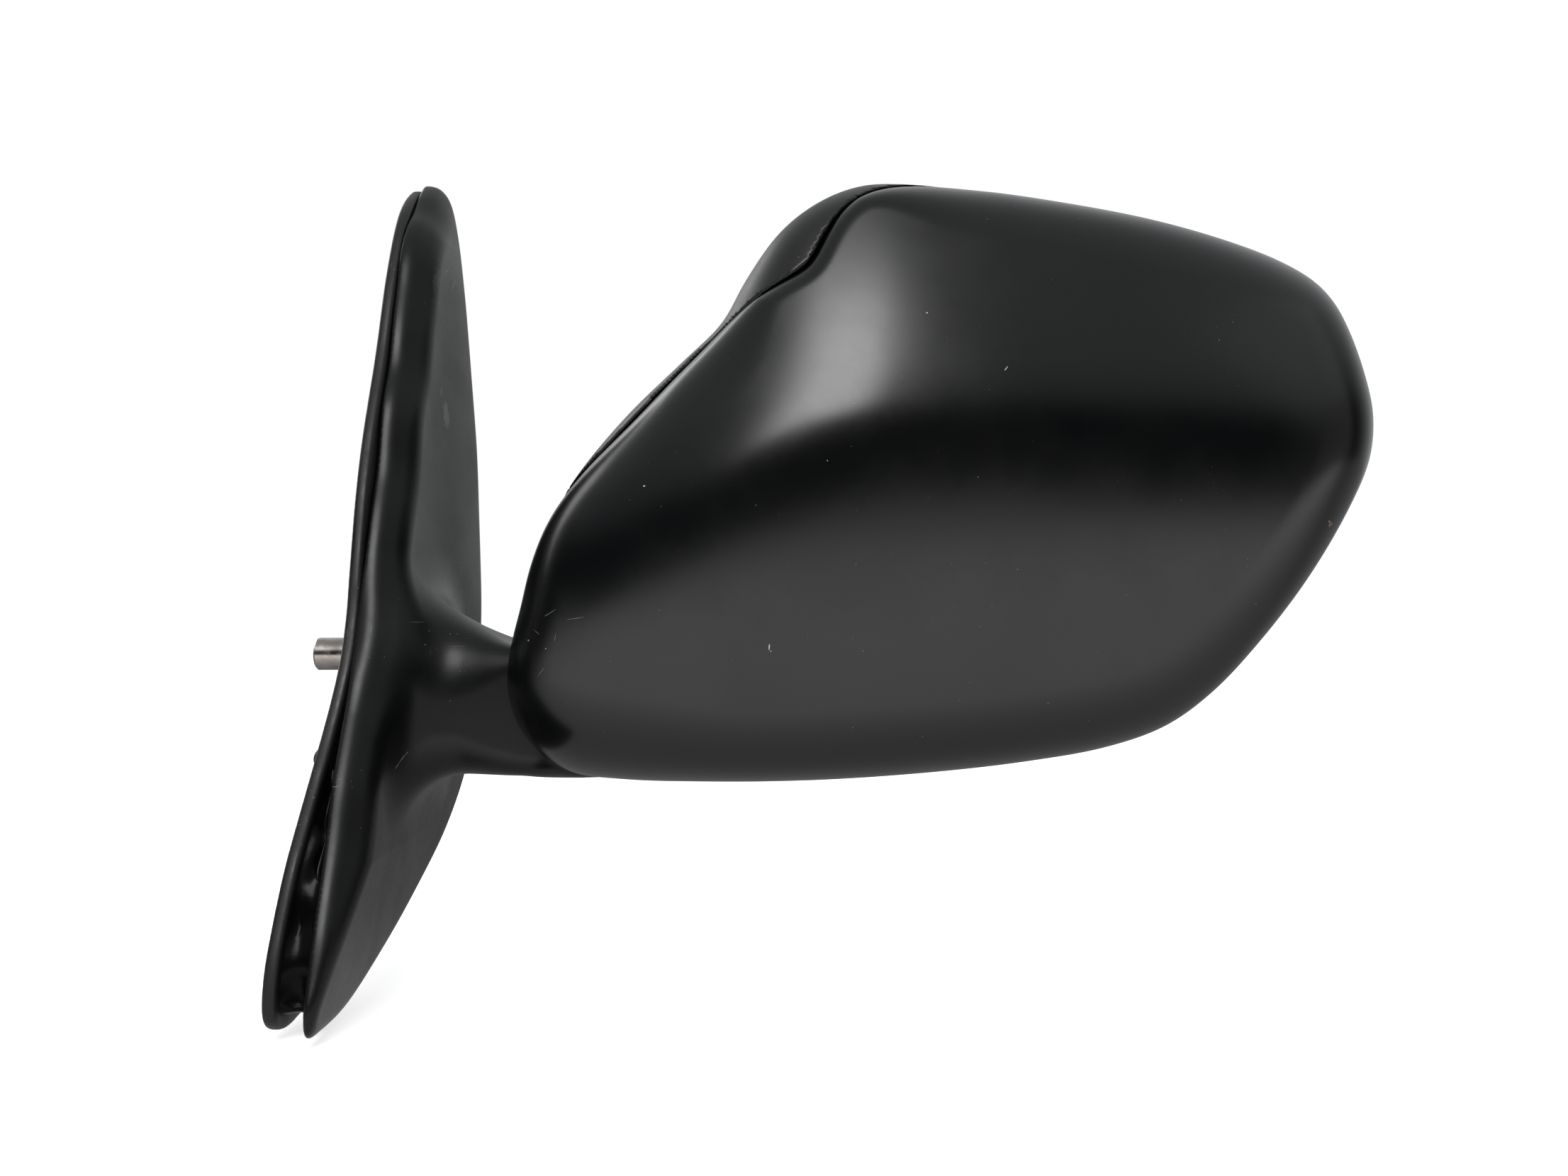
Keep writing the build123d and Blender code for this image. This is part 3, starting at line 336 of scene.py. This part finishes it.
def cover_outer_field(x, y, z):
    edge = leaf_distance(y, z)
    height = leaf_height(z)
    front = leaf_front_y(z)
    # The face rises from the front edge towards the back
    low = np.minimum(15.2, height * 0.9)
    rise = smoothstep((y - front) / np.maximum(70 - front, 14), 0.02, 0.95)
    height = low + (height - low) * rise
    flank = (x - 7.8 + edge * 1.35) / 1.68
    leaf = soft_max(soft_max(edge, flank, 1.6), (x - height) * 0.97, 3.4)
    # Arm from the leaf to the fold axis, with softer edges at its root
    root = smoothstep(-x, -54, -24)
    beam = soft_max(np.abs(y) - ARM_HALF, (z - arm_top_z(x)) * 0.93, 6.0 + 20 * root)
    beam = soft_max(beam, ARM_BOTTOM - z, 7.0 + 8 * root)
    beam = soft_max(beam, x - FOLD_X, 0.5)
    beam = soft_max(beam, 13.0 - x, 6.0)
    knuckle = soft_max(np.hypot(x - FOLD_X, y) - KNUCKLE_RADIUS, z - 2.0, 5.0)
    knuckle = soft_max(knuckle, ARM_BOTTOM - z, 7.0)
    return soft_min(leaf, soft_min(beam, knuckle, 1.5), 18.0)


def base_cover_field(x, y, z):
    skin = hollow(cover_outer_field(x, y, z), COVER_WALL, 0.4)
    skin = soft_max(skin, 4.0 - x, 0.7)
    # Holes on the fold axis through the top and bottom of the knuckle
    radius = np.hypot(x - FOLD_X, y)
    skin = soft_max(skin, -np.maximum(radius - 14.8, np.abs(z - 2) - 5.0), 0.7)
    return soft_max(skin, -np.maximum(radius - 14.0, np.abs(z - ARM_BOTTOM) - 4.0), 0.5)


def gasket_field(x, y, z):
    pad = soft_max(gasket_distance(y, z), np.abs(x - door_x(z) - GASKET_MID) - GASKET_HALF, 1.5)
    for hole_y, hole_z, radius in GASKET_HOLES:
        pad = soft_max(pad, radius - np.hypot(y - hole_y, z - hole_z), 1.0)
    return pad


# ---------------------------------------------------------------- surface from a field
def cell_points(values, inside):
    """One point, in grid steps, in each cell the surface crosses."""
    corners = list(product((0, 1), repeat=3))
    shape = np.array(values.shape) - 1
    filled = np.zeros(shape, np.int8)
    for i, j, k in corners:
        filled += inside[i:shape[0] + i, j:shape[1] + j, k:shape[2] + k]
    active = (filled > 0) & (filled < 8)
    cells = np.argwhere(active)
    numbers = np.full(active.shape, -1, np.int64)
    numbers[active] = np.arange(len(cells))
    total = np.zeros((len(cells), 3))
    crossings = np.zeros(len(cells))
    for corner in corners:
        for k in range(3):
            if corner[k]:
                continue
            start = np.array(corner)
            end = start.copy()
            end[k] = 1
            at_start = values[tuple((cells + start).T)]
            at_end = values[tuple((cells + end).T)]
            cut = (at_start < 0) != (at_end < 0)
            share = np.where(cut, at_start / np.where(cut, at_start - at_end, 1), 0)
            point = start.astype(float) + share[:, None] * (end - start).astype(float)
            total[cut] += point[cut]
            crossings[cut] += 1
    return cells + total / crossings[:, None], numbers


def cell_quads(inside, numbers):
    """One quad round each grid edge the surface crosses."""
    count = inside.shape
    quads = []
    for k in range(3):
        u, v = (k + 1) % 3, (k + 2) % 3
        before = np.take(inside, range(0, count[k] - 1), k)
        after = np.take(inside, range(1, count[k]), k)
        edges = np.argwhere(before != after)
        edges = edges[(edges[:, u] > 0) & (edges[:, v] > 0)
                      & (edges[:, u] < count[u] - 1) & (edges[:, v] < count[v] - 1)]
        keep = before[tuple(edges.T)]
        ring = []
        for step_u, step_v in ((-1, -1), (0, -1), (0, 0), (-1, 0)):
            cell = edges.copy()
            cell[:, u] += step_u
            cell[:, v] += step_v
            ring.append(numbers[tuple(cell.T)])
        quad = np.stack(ring, 1)
        quad[~keep] = quad[~keep][:, ::-1]
        quads.append(quad)
    quads = np.concatenate(quads)
    return quads[(quads >= 0).all(1)]


def gradient(field, points, reach=0.05):
    slope = np.empty_like(points)
    for k in range(3):
        step = np.zeros(3)
        step[k] = reach
        slope[:, k] = (field(*(points + step).T) - field(*(points - step).T)) / (2 * reach)
    return slope


def settle(field, points, quads, pitch):
    """Even out the points three times, pulling them onto the surface after each and once more."""
    edges = np.concatenate([quads[:, [k, (k + 1) % 4]] for k in range(4)])
    neighbours = np.bincount(edges.ravel(), minlength=len(points))
    for turn in range(4):
        if turn < 3:
            total = np.zeros_like(points)
            np.add.at(total, edges[:, 0], points[edges[:, 1]])
            np.add.at(total, edges[:, 1], points[edges[:, 0]])
            points = 0.5 * points + 0.5 * total / np.maximum(neighbours, 1)[:, None]
        slope = gradient(field, points)
        steepness = np.maximum((slope * slope).sum(1), 0.05)
        move = (field(*points.T) / steepness)[:, None] * slope
        length = np.linalg.norm(move, axis=1)[:, None]
        points = points - move * np.minimum(1, 0.5 * pitch / np.maximum(length, 1e-9))
    return points


def surface_mesh(field, low, high, pitch, slab=24):
    """Surface nets over a distance field, sampled a slab at a time."""
    low, high = np.array(low, float), np.array(high, float)
    count = np.ceil((high - low) / pitch).astype(int) + 1
    xs, ys, zs = (low[k] + pitch * np.arange(count[k]) for k in range(3))
    values = np.empty(count, np.float32)
    for i in range(0, count[0], slab):
        values[i:i + slab] = field(xs[i:i + slab, None, None], ys[None, :, None],
                                   zs[None, None, :])
    inside = values < 0
    points, numbers = cell_points(values, inside)
    quads = cell_quads(inside, numbers)
    return settle(field, low + pitch * points, quads, pitch), quads


def add_skin(name, points, faces, body, material, replaces=None):
    mesh = bpy.data.meshes.new(name)
    points = np.asarray(points, np.float32) * MM
    faces = np.asarray(faces, np.int32)
    sides = faces.shape[1]
    mesh.vertices.add(len(points))
    mesh.vertices.foreach_set("co", points.ravel())
    mesh.loops.add(faces.size)
    mesh.loops.foreach_set("vertex_index", faces.ravel())
    mesh.polygons.add(len(faces))
    mesh.polygons.foreach_set("loop_start", np.arange(0, faces.size, sides, dtype=np.int32))
    mesh.polygons.foreach_set("loop_total", np.full(len(faces), sides, np.int32))
    mesh.polygons.foreach_set("use_smooth", np.ones(len(faces), bool))
    mesh.update()
    mesh.validate()
    skin = bpy.data.objects.new(name, mesh)
    bpy.context.scene.collection.objects.link(skin)
    mesh.materials.append(material)
    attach(skin, body)
    if replaces:
        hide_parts(replaces)
    return skin


# ---------------------------------------------------------------- materials
class Graph:
    """Adds and links the nodes of one node tree."""

    def __init__(self, tree):
        self.tree = tree

    def put(self, socket, source):
        if isinstance(source, bpy.types.NodeSocket):
            self.tree.links.new(source, socket)
        elif socket.type == "RGBA":
            socket.default_value = (*source, 1)
        else:
            socket.default_value = source

    def node(self, kind, inputs=None, **settings):
        made = self.tree.nodes.new("ShaderNode" + kind)
        for name, value in settings.items():
            setattr(made, name, value)
        for key, source in (inputs or {}).items():
            self.put(made.inputs[key], source)
        return made

    def noise(self, vector, scale, detail, roughness=0.55):
        return self.node("TexNoise", {"Scale": scale, "Detail": detail, "Roughness": roughness,
                                      "Vector": vector}).outputs["Fac"]

    def ramp(self, source, start, end, low=0.0, high=1.0, shape="SMOOTHSTEP"):
        return self.node("MapRange", {
            "From Min": start, "From Max": end, "To Min": low, "To Max": high,
            "Value": source}, interpolation_type=shape).outputs["Result"]

    def swing(self, source):
        """Noise spread over -1 to 1."""
        return self.ramp(source, 0.3, 0.7, -1, 1)

    def math(self, operation, a, b):
        return self.node("Math", {0: a, 1: b}, operation=operation).outputs[0]

    def add(self, a, b):
        return self.math("ADD", a, b)

    def mul(self, a, b):
        return self.math("MULTIPLY", a, b)

    def mix(self, factor, a, b):
        made = self.node("Mix", {"Factor": factor}, data_type="RGBA")
        for socket, source in zip([s for s in made.inputs if s.type == "RGBA"], (a, b)):
            self.put(socket, source)
        return next(s for s in made.outputs if s.type == "RGBA")


def add_dust(graph, place, color, rough, dust, haze, dust_color):
    """Bright specks in patches, and a faint haze."""
    specks = graph.ramp(graph.noise(place, scale=1500.0, detail=1),
                        0.82 - 0.04 * dust, 0.85 - 0.04 * dust)
    patches = graph.ramp(graph.noise(place, scale=26.0, detail=3), 0.42, 0.62)
    amount = graph.mul(graph.mul(specks, patches), 0.85)
    color = graph.mix(amount, color, dust_color)
    if haze:
        clouds = graph.ramp(graph.noise(place, scale=9.0, detail=8), 0.48, 0.75)
        color = graph.mix(graph.mul(clouds, 0.02 * dust * haze), color, dust_color)
    return color, graph.add(rough, graph.mul(amount, 0.3))


def add_scratches(graph, place, color, scratch, scratch_color):
    """Three families of fine lines, as (angle, noise scale)."""
    families = ((0.5, (60, 60, 2600)), (-0.7, (2400, 300, 70)), (1.2, (90, 1800, 1900)))
    for angle, scale in families:
        turned = graph.node("Mapping", {"Rotation": (0.2 * angle, angle, 0.3), "Scale": scale,
                                        "Vector": place}).outputs["Vector"]
        lines = graph.ramp(graph.noise(turned, scale=1.0, detail=1, roughness=0.4), 0.765, 0.79)
        where = graph.ramp(graph.noise(place, scale=34.0 + 11 * angle, detail=2), 0.56, 0.66)
        amount = graph.mul(graph.mul(lines, where), 0.5 * scratch)
        color = graph.mix(amount, color, scratch_color)
    return color


def add_marks(graph, place, color, marks, axis):
    """Small ellipses placed one by one; axis is the horizontal axis of their plane."""
    split = graph.node("SeparateXYZ", {0: place})
    for across, up, half_length, half_width, angle, mark_color, strength, ragged in marks:
        off_a = graph.math("SUBTRACT", split.outputs[axis], across * MM)
        off_b = graph.math("SUBTRACT", split.outputs["Z"], up * MM)
        cos, sin = math.cos(angle), math.sin(angle)
        along = graph.mul(graph.add(graph.mul(off_a, cos), graph.mul(off_b, sin)),
                          MM_PER_METRE / half_length)
        aside = graph.mul(graph.math("SUBTRACT", graph.mul(off_b, cos), graph.mul(off_a, sin)),
                          MM_PER_METRE / half_width)
        squares = graph.add(graph.mul(along, along), graph.mul(aside, aside))
        radius = graph.math("SQRT", squares, 0)
        edge = graph.swing(graph.noise(place, scale=600.0, detail=3))
        radius = graph.add(radius, graph.mul(edge, ragged))
        amount = graph.mul(graph.ramp(radius, 0.7, 1.05, 1.0, 0.0), strength)
        color = graph.mix(amount, color, mark_color)
    return color


def surface(name, color, rough, *, tone_var, rough_var, grain, bump, depth, metal=0.0,
            specular=0.5, patch=18.0, dust=0.0, dust_color=(0.45, 0.46, 0.46), haze=1.0,
            scratch=0.0, streak=None, marks=(), axis="X"):
    """Mottled surface; grain and patch are noise scales, depth is the bump's in metres."""
    material = bpy.data.materials.new(name)
    material.use_nodes = True
    graph = Graph(material.node_tree)
    place = graph.node("TexCoord").outputs["Object"]
    dark = tuple(c * (1 - tone_var) for c in color)
    light = tuple(min(1, c * (1 + tone_var) + 0.002 * tone_var) for c in color)
    color = graph.mix(graph.ramp(graph.noise(place, patch, detail=6), 0.32, 0.68), dark, light)
    broad = graph.swing(graph.noise(place, patch * 2.3, detail=6))
    rough = graph.add(rough, graph.mul(broad, rough_var))
    fine = graph.swing(graph.noise(place, grain * 0.4, detail=2))
    rough = graph.add(rough, graph.mul(fine, rough_var * 0.3))
    if streak:
        drawn = graph.node("Mapping", {"Scale": streak, "Vector": place}).outputs["Vector"]
        lines = graph.swing(graph.noise(drawn, scale=1.0, detail=3, roughness=0.6))
        rough = graph.add(rough, graph.mul(lines, 0.1))
    if dust:
        color, rough = add_dust(graph, place, color, rough, dust, haze, dust_color)
    if scratch:
        color = add_scratches(graph, place, color, scratch, dust_color)
    if marks:
        color = add_marks(graph, place, color, marks, axis)
    height = graph.add(graph.noise(place, grain, detail=3),
                       graph.mul(graph.noise(place, grain * 0.12, detail=2), 0.8))
    bumps = graph.node("Bump", {"Strength": bump, "Distance": depth, "Height": height})
    shader = material.node_tree.nodes["Principled BSDF"]
    for key, source in {"Metallic": metal, "Specular IOR Level": specular, "Base Color": color,
                        "Roughness": rough, "Normal": bumps.outputs["Normal"]}.items():
        graph.put(shader.inputs[key], source)
    return material


# Marks: across, up, half length, half width (mm), angle (rad), colour, strength, raggedness
PALE = (0.62, 0.63, 0.62)
BLACK = (0.003, 0.003, 0.003)
SHELL_MARKS = [  # across is x
    (285.4, 38.6, 0.9, 0.7, 0.2, (0.16, 0.09, 0.06), 0.9, 0.35),
    (284.6, 39.3, 0.35, 0.3, 0, (0.5, 0.45, 0.4), 0.8, 0.2),
    (243.0, 10.4, 0.45, 0.4, 0, BLACK, 1.0, 0.2),
    (147.9, 66.9, 1.6, 0.22, -1.0, (0.004, 0.004, 0.004), 1.0, 0.25),
    (64.5, 13.5, 2.2, 0.10, 0.5, PALE, 0.22, 0.3), (60.0, 8.0, 1.6, 0.09, -0.6, PALE, 0.2, 0.3),
    (63.0, 3.5, 0.3, 0.25, 0, PALE, 0.6, 0.4), (57.2, 5.6, 0.3, 0.25, 0, PALE, 0.7, 0.4),
    (61.5, -3.0, 1.8, 0.08, 0.9, PALE, 0.2, 0.3), (66.0, 7.0, 1.2, 0.09, 1.4, PALE, 0.18, 0.3),
    (72.0, 12.0, 2.4, 0.09, 0.15, PALE, 0.2, 0.3), (125.0, 4.2, 0.9, 0.16, 1.5, PALE, 0.9, 0.2),
    (125.4, 3.2, 0.3, 0.14, 0, PALE, 0.8, 0.2), (168.0, 95.4, 0.28, 0.16, 0.4, PALE, 0.9, 0.2),
    (189.0, 79.6, 0.8, 0.12, 0.9, PALE, 0.7, 0.2), (91.0, 48.0, 0.28, 0.22, 0, PALE, 0.8, 0.2)]
COVER_MARKS = [  # across is y
    (30.0, 77.0, 4.4, 2.6, 1.45, (0.16, 0.17, 0.18), 0.6, 0.25),
    (27.5, 84.5, 1.8, 1.0, 1.2, (0.12, 0.13, 0.13), 0.45, 0.3),
    (46.0, 123.0, 5.0, 0.14, 0.7, PALE, 0.35, 0.3), (41.0, 127.0, 4.0, 0.12, 0.5, PALE, 0.3, 0.3),
    (30.0, 122.0, 4.2, 1.8, 1.1, (0.06, 0.065, 0.07), 0.4, 0.4),
    (-28.0, -30.0, 4.0, 0.12, 0.8, PALE, 0.25, 0.3)]

finishes = {
    "shell": surface(
        "shell_primer", color=(0.0018, 0.0021, 0.0024), rough=0.235, tone_var=0.15,
        rough_var=0.022, grain=1500, bump=0.05, depth=0.00004, dust=0.3, haze=0.0,
        marks=SHELL_MARKS),
    "cover": surface(
        "cover_primer", color=(0.0028, 0.0031, 0.0034), rough=0.33, tone_var=0.2,
        rough_var=0.04, grain=1400, bump=0.06, depth=0.00005, dust=0.6, haze=0.15,
        scratch=0.5, specular=0.34, marks=COVER_MARKS, axis="Y"),
    "housing": surface(
        "housing_plastic", color=(0.006, 0.0062, 0.0064), rough=0.40, tone_var=0.12,
        rough_var=0.05, grain=1900, bump=0.10, depth=0.00006, dust=0.8),
    "gasket": surface(
        "gasket_rubber", color=(0.008, 0.0078, 0.0076), rough=0.46, tone_var=0.3,
        rough_var=0.12, grain=1100, bump=0.25, depth=0.0001, dust=1.6, scratch=1.0,
        dust_color=(0.3, 0.29, 0.27)),
    "film": surface(
        "sealing_film", color=(0.002, 0.002, 0.0025), rough=0.24, tone_var=0.3,
        rough_var=0.05, grain=500, bump=0.2, depth=0.0002, dust=0.3, haze=0.0, specular=0.1),
    "plastic": surface(
        "moulded_plastic", color=(0.018, 0.018, 0.019), rough=0.45, tone_var=0.2,
        rough_var=0.08, grain=1600, bump=0.2, depth=0.0001, dust=0.6, scratch=0.2),
    "nylon": surface(
        "glass_filled_nylon", color=(0.035, 0.035, 0.036), rough=0.5, tone_var=0.25,
        rough_var=0.1, grain=800, bump=0.3, depth=0.00015, dust=0.4, streak=(30, 30, 400)),
    "cast": surface(
        "die_cast", color=(0.42, 0.42, 0.43), rough=0.42, metal=1.0, tone_var=0.12,
        rough_var=0.12, grain=700, bump=0.35, depth=0.00015, dust=0.3),
    "steel": surface(
        "zinc_plated_steel", color=(0.40, 0.365, 0.34), rough=0.26, metal=1.0, tone_var=0.16,
        rough_var=0.05, patch=160.0, grain=1800, bump=0.05, depth=0.00004, scratch=0.3),
    "spring": surface(
        "spring_wire", color=(0.16, 0.16, 0.17), rough=0.34, metal=1.0, tone_var=0.2,
        rough_var=0.1, grain=1500, bump=0.1, depth=0.00005),
    "acetal": surface(
        "acetal", color=(0.70, 0.68, 0.62), rough=0.36, tone_var=0.05, rough_var=0.06,
        grain=1300, bump=0.08, depth=0.00005),
    "brass": surface(
        "brass", color=(0.72, 0.52, 0.22), rough=0.26, metal=1.0, tone_var=0.08,
        rough_var=0.08, grain=1500, bump=0.08, depth=0.00005),
    "cable": surface(
        "loom_tape", color=(0.012, 0.012, 0.013), rough=0.48, tone_var=0.3, rough_var=0.12,
        grain=600, bump=0.4, depth=0.00025, dust=0.8),
    "connector": surface(
        "connector_plastic", color=(0.06, 0.06, 0.062), rough=0.42, tone_var=0.15,
        rough_var=0.06, grain=1500, bump=0.15, depth=0.00008),
    "heater": surface(
        "heater_film", color=(0.42, 0.20, 0.06), rough=0.3, tone_var=0.15, rough_var=0.06,
        grain=700, bump=0.1, depth=0.0001),
    "mirror": surface(
        "silvered_glass", color=(0.80, 0.82, 0.83), rough=0.025, metal=1.0, tone_var=0.015,
        rough_var=0.008, grain=300, bump=0.0, depth=0.00001)}

PARTS_BY_FINISH = {
    "cast": "base_bracket",
    "steel": "mounting_inserts cover_screws detent_ring_lower detent_ring_upper pivot_tube "
             "spring_retainer frame_screws housing_screws actuator_screws tilt_motor pan_motor",
    "acetal": "thrust_washer pivot_post gimbal_ring jack_rod_tilt jack_rod_pan "
              "worm_wheel_tilt worm_wheel_pan",
    "spring": "fold_spring",
    "plastic": "pivot_cap actuator_case_front actuator_case_rear glass_holder",
    "cable": "harness_base harness_head",
    "gasket": "door_grommet base_gasket",
    "connector": "harness_connector",
    "nylon": "head_frame",
    "heater": "heater_pad",
    "mirror": "mirror_glass",
    "brass": "worm_tilt worm_pan",
    "shell": "front_shell",
    "housing": "rear_housing",
    "cover": "base_cover"}
part_finish = {part: key for key, parts in PARTS_BY_FINISH.items() for part in parts.split()}
for part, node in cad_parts.items():
    node.data.materials.clear()
    node.data.materials.append(finishes[part_finish[part]])

# ---------------------------------------------------------------- skins
# name, field, low corner, high corner, (quick, full) pitch, body, finish, CAD part, slot
SKINS = [
    ("shell_skin", front_shell_field, (44, -68, -39), (310, 4, 143), (1.5, 0.8),
     "head", "shell", "front_shell", "black_primer"),
    ("housing_skin", rear_housing_field, (45, -46, -39), (310, 46, 146), (1.6, 0.9),
     "head", "housing", "rear_housing", "black_plastic"),
    ("cover_skin", base_cover_field, (1, -78, -102), (97, 73, 164), (1.5, 0.8),
     "base", "cover", "base_cover", "black_primer"),
    ("gasket_skin", gasket_field, (-12, -74, -101), (8, 72, 162), (1.4, 0.7),
     "base", "gasket", "base_gasket", "foam_rubber")]
for name, field, low, high, pitches, body, finish, part, slot in SKINS:
    points, quads = surface_mesh(field, low, high, pitches[1])
    add_skin(name, points, quads, body, finishes[finish], replaces=part)


def ripple(along, across):
    """Crumple made of nine random waves."""
    total = np.zeros_like(along)
    for _ in range(9):
        angle = rng.uniform(0, 2 * np.pi)
        rate = rng.uniform(0.10, 0.42)
        wave = along * np.cos(angle) + across * 9 * np.sin(angle) * 1.6
        total += np.sin(rate * wave + rng.uniform(0, 7)) * rng.uniform(0.25, 0.6)
    return np.abs(total) ** 0.8 * np.sign(total)


def nearest_index(y, z):
    return int(np.argmin(np.hypot(gasket_outline[:, 0] - y, gasket_outline[:, 1] - z)))


def add_film(rows=260, columns=46):
    """Crumpled film between gasket and cover along the lower front edge."""
    count = len(gasket_outline)
    first = nearest_index(-44, -29)
    last = nearest_index(-60, -97)
    forward, backward = (last - first) % count, (first - last) % count
    step = 1 if forward < backward else -1
    run = gasket_outline[(first + step * np.arange(min(forward, backward))) % count]
    lengths = np.concatenate([[0], np.cumsum(np.linalg.norm(np.diff(run, axis=0), axis=1))])
    stations = np.linspace(0, lengths[-1], rows)
    path = np.stack([np.interp(stations, lengths, run[:, k]) for k in range(2)], 1)
    tangent = np.gradient(path, axis=0)
    tangent /= np.linalg.norm(tangent, axis=1)[:, None]
    inward = np.stack([tangent[:, 1], -tangent[:, 0]], 1)
    inward *= np.sign(((np.array([0.0, -30.0]) - path) * inward).sum(1))[:, None]

    along, across = np.meshgrid(stations, np.linspace(0, 1, columns), indexing="ij")
    belly = np.sin(np.pi * across)
    bulge = ripple(along, across) * 0.75 * belly
    inner_x = door_x(path[:, 1])[:, None] + 3.2
    film_x = inner_x + (4.6 - inner_x) * across
    inset = 3.4 + bulge + 1.8 * belly
    film_y = path[:, 0:1] + inward[:, 0:1] * inset
    film_z = path[:, 1:2] + inward[:, 1:2] * inset
    film_x = film_x + ripple(along + 31, across) * 0.25 * belly
    points = np.stack([film_x, film_y, film_z], -1).reshape(-1, 3)
    corners = [i * columns + j for i in range(rows - 1) for j in range(columns - 1)]
    quads = [(c, c + 1, c + columns + 1, c + columns) for c in corners]
    film = add_skin("sealing_film", points, quads, "base", finishes["film"])
    film.modifiers.new("thickness", "SOLIDIFY").thickness = 0.0002


add_film()


# ---------------------------------------------------------------- stage, light, camera (metres)
def add_floor():
    """Bright to the camera; to other rays it glows only in a band in front of the mirror."""
    bpy.ops.mesh.primitive_plane_add(size=6, location=(0.15, 0.5, -0.1005))
    floor = bpy.context.object
    floor.name = "floor"
    material = bpy.data.materials.new("floor_paint")
    material.use_nodes = True
    nodes = material.node_tree.nodes
    graph = Graph(material.node_tree)
    seen = graph.node("LightPath").outputs["Is Camera Ray"]
    paint = nodes["Principled BSDF"]
    for key, source in {"Base Color": (0.80, 0.80, 0.80), "Roughness": 0.9,
                        "Emission Color": (1, 1, 1),
                        "Emission Strength": graph.mul(seen, 0.72)}.items():
        graph.put(paint.inputs[key], source)
    position = graph.node("NewGeometry").outputs["Position"]
    depth = graph.node("SeparateXYZ", {0: position}).outputs["Y"]
    rise = graph.ramp(depth, start=-0.95, end=-0.60, low=0.0, high=1.6)
    fade = graph.ramp(depth, start=-0.42, end=0.10, low=0.98, high=0.16)
    glow = graph.node("Emission", {"Strength": graph.mul(rise, fade)})
    blend = graph.node("MixShader", {0: seen, 1: glow.outputs[0], 2: paint.outputs[0]})
    graph.put(nodes["Material Output"].inputs["Surface"], blend.outputs[0])
    floor.data.materials.append(material)
    floor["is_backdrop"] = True


def add_world():
    """White to the camera; elsewhere dark low down, light overhead and towards +Y."""
    world = bpy.data.worlds.new("studio")
    bpy.context.scene.world = world
    world.use_nodes = True
    world.node_tree.nodes.clear()
    graph = Graph(world.node_tree)
    direction = graph.node("TexCoord").outputs["Generated"]
    split = graph.node("SeparateXYZ", {0: direction})
    height = graph.ramp(split.outputs["Z"], start=-1, end=1, shape="LINEAR")
    sky = graph.node("ValToRGB", {"Fac": height})
    stops = sky.color_ramp.elements
    sky.color_ramp.interpolation = "EASE"
    # Position (0 straight down, 1 straight up) and brightness; the first two stops exist
    levels = [(0.0, 0.02), (1.0, 0.46), (0.45, 0.004), (0.64, 0.004), (0.68, 0.05),
              (0.75, 0.30), (0.83, 0.44)]
    for i, (position, level) in enumerate(levels):
        stop = stops[i] if i < 2 else stops.new(position)
        stop.position = position
        stop.color = (level * 0.97, level * 0.99, level, 1)
    behind = graph.ramp(split.outputs["Y"], start=0.1, end=0.9, low=0.0, high=0.9)
    light = graph.mix(behind, sky.outputs["Color"], (0.68, 0.69, 0.70))
    lit = graph.node("Background", {"Color": light})
    backdrop = graph.node("Background", {"Color": (1.0, 1.0, 1.0), "Strength": 1.0})
    seen = graph.node("LightPath").outputs["Is Camera Ray"]
    blend = graph.node("MixShader", {0: seen, 1: lit.outputs[0], 2: backdrop.outputs[0]})
    graph.node("OutputWorld", {"Surface": blend.outputs[0]})


def add_area(name, location, target, width, height, power):
    light = bpy.data.lights.new(name, "AREA")
    light.shape = "RECTANGLE"
    light.size, light.size_y = width, height
    light.energy = power
    lamp = bpy.data.objects.new(name, light)
    bpy.context.scene.collection.objects.link(lamp)
    lamp.location = location
    lamp.rotation_mode = "QUATERNION"
    aim = Vector(target) - Vector(location)
    lamp.rotation_quaternion = aim.to_track_quat("-Z", "Y")


def add_camera():
    """Level, in front of the mirror, looking along +Y."""
    lens = bpy.data.cameras.new("camera")
    lens.sensor_width = 36
    lens.lens = 34.58
    lens.clip_start = 0.01
    camera = bpy.data.objects.new("camera", lens)
    bpy.context.scene.collection.objects.link(camera)
    camera.location = (0.129, -0.465, 0.0203)
    camera.rotation_euler = (math.pi / 2, 0, 0)
    bpy.context.scene.camera = camera


add_floor()
add_world()
add_area("window", location=(-0.005, -0.98, 0.90), target=(0.145, -0.05, 0.08),
         width=0.42, height=0.64, power=8.2)
add_area("rear_left", location=(-0.9, 0.9, 0.5), target=(0.12, 0, 0.09),
         width=1.0, height=1.0, power=6.0)
add_area("side", location=(1.3, -0.3, 0.5), target=(0.2, 0, 0.05),
         width=0.7, height=1.0, power=0.5)
add_camera()
bpy.context.scene.view_settings.view_transform = "Standard"
bpy.context.scene.view_settings.look = "None"

low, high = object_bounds()
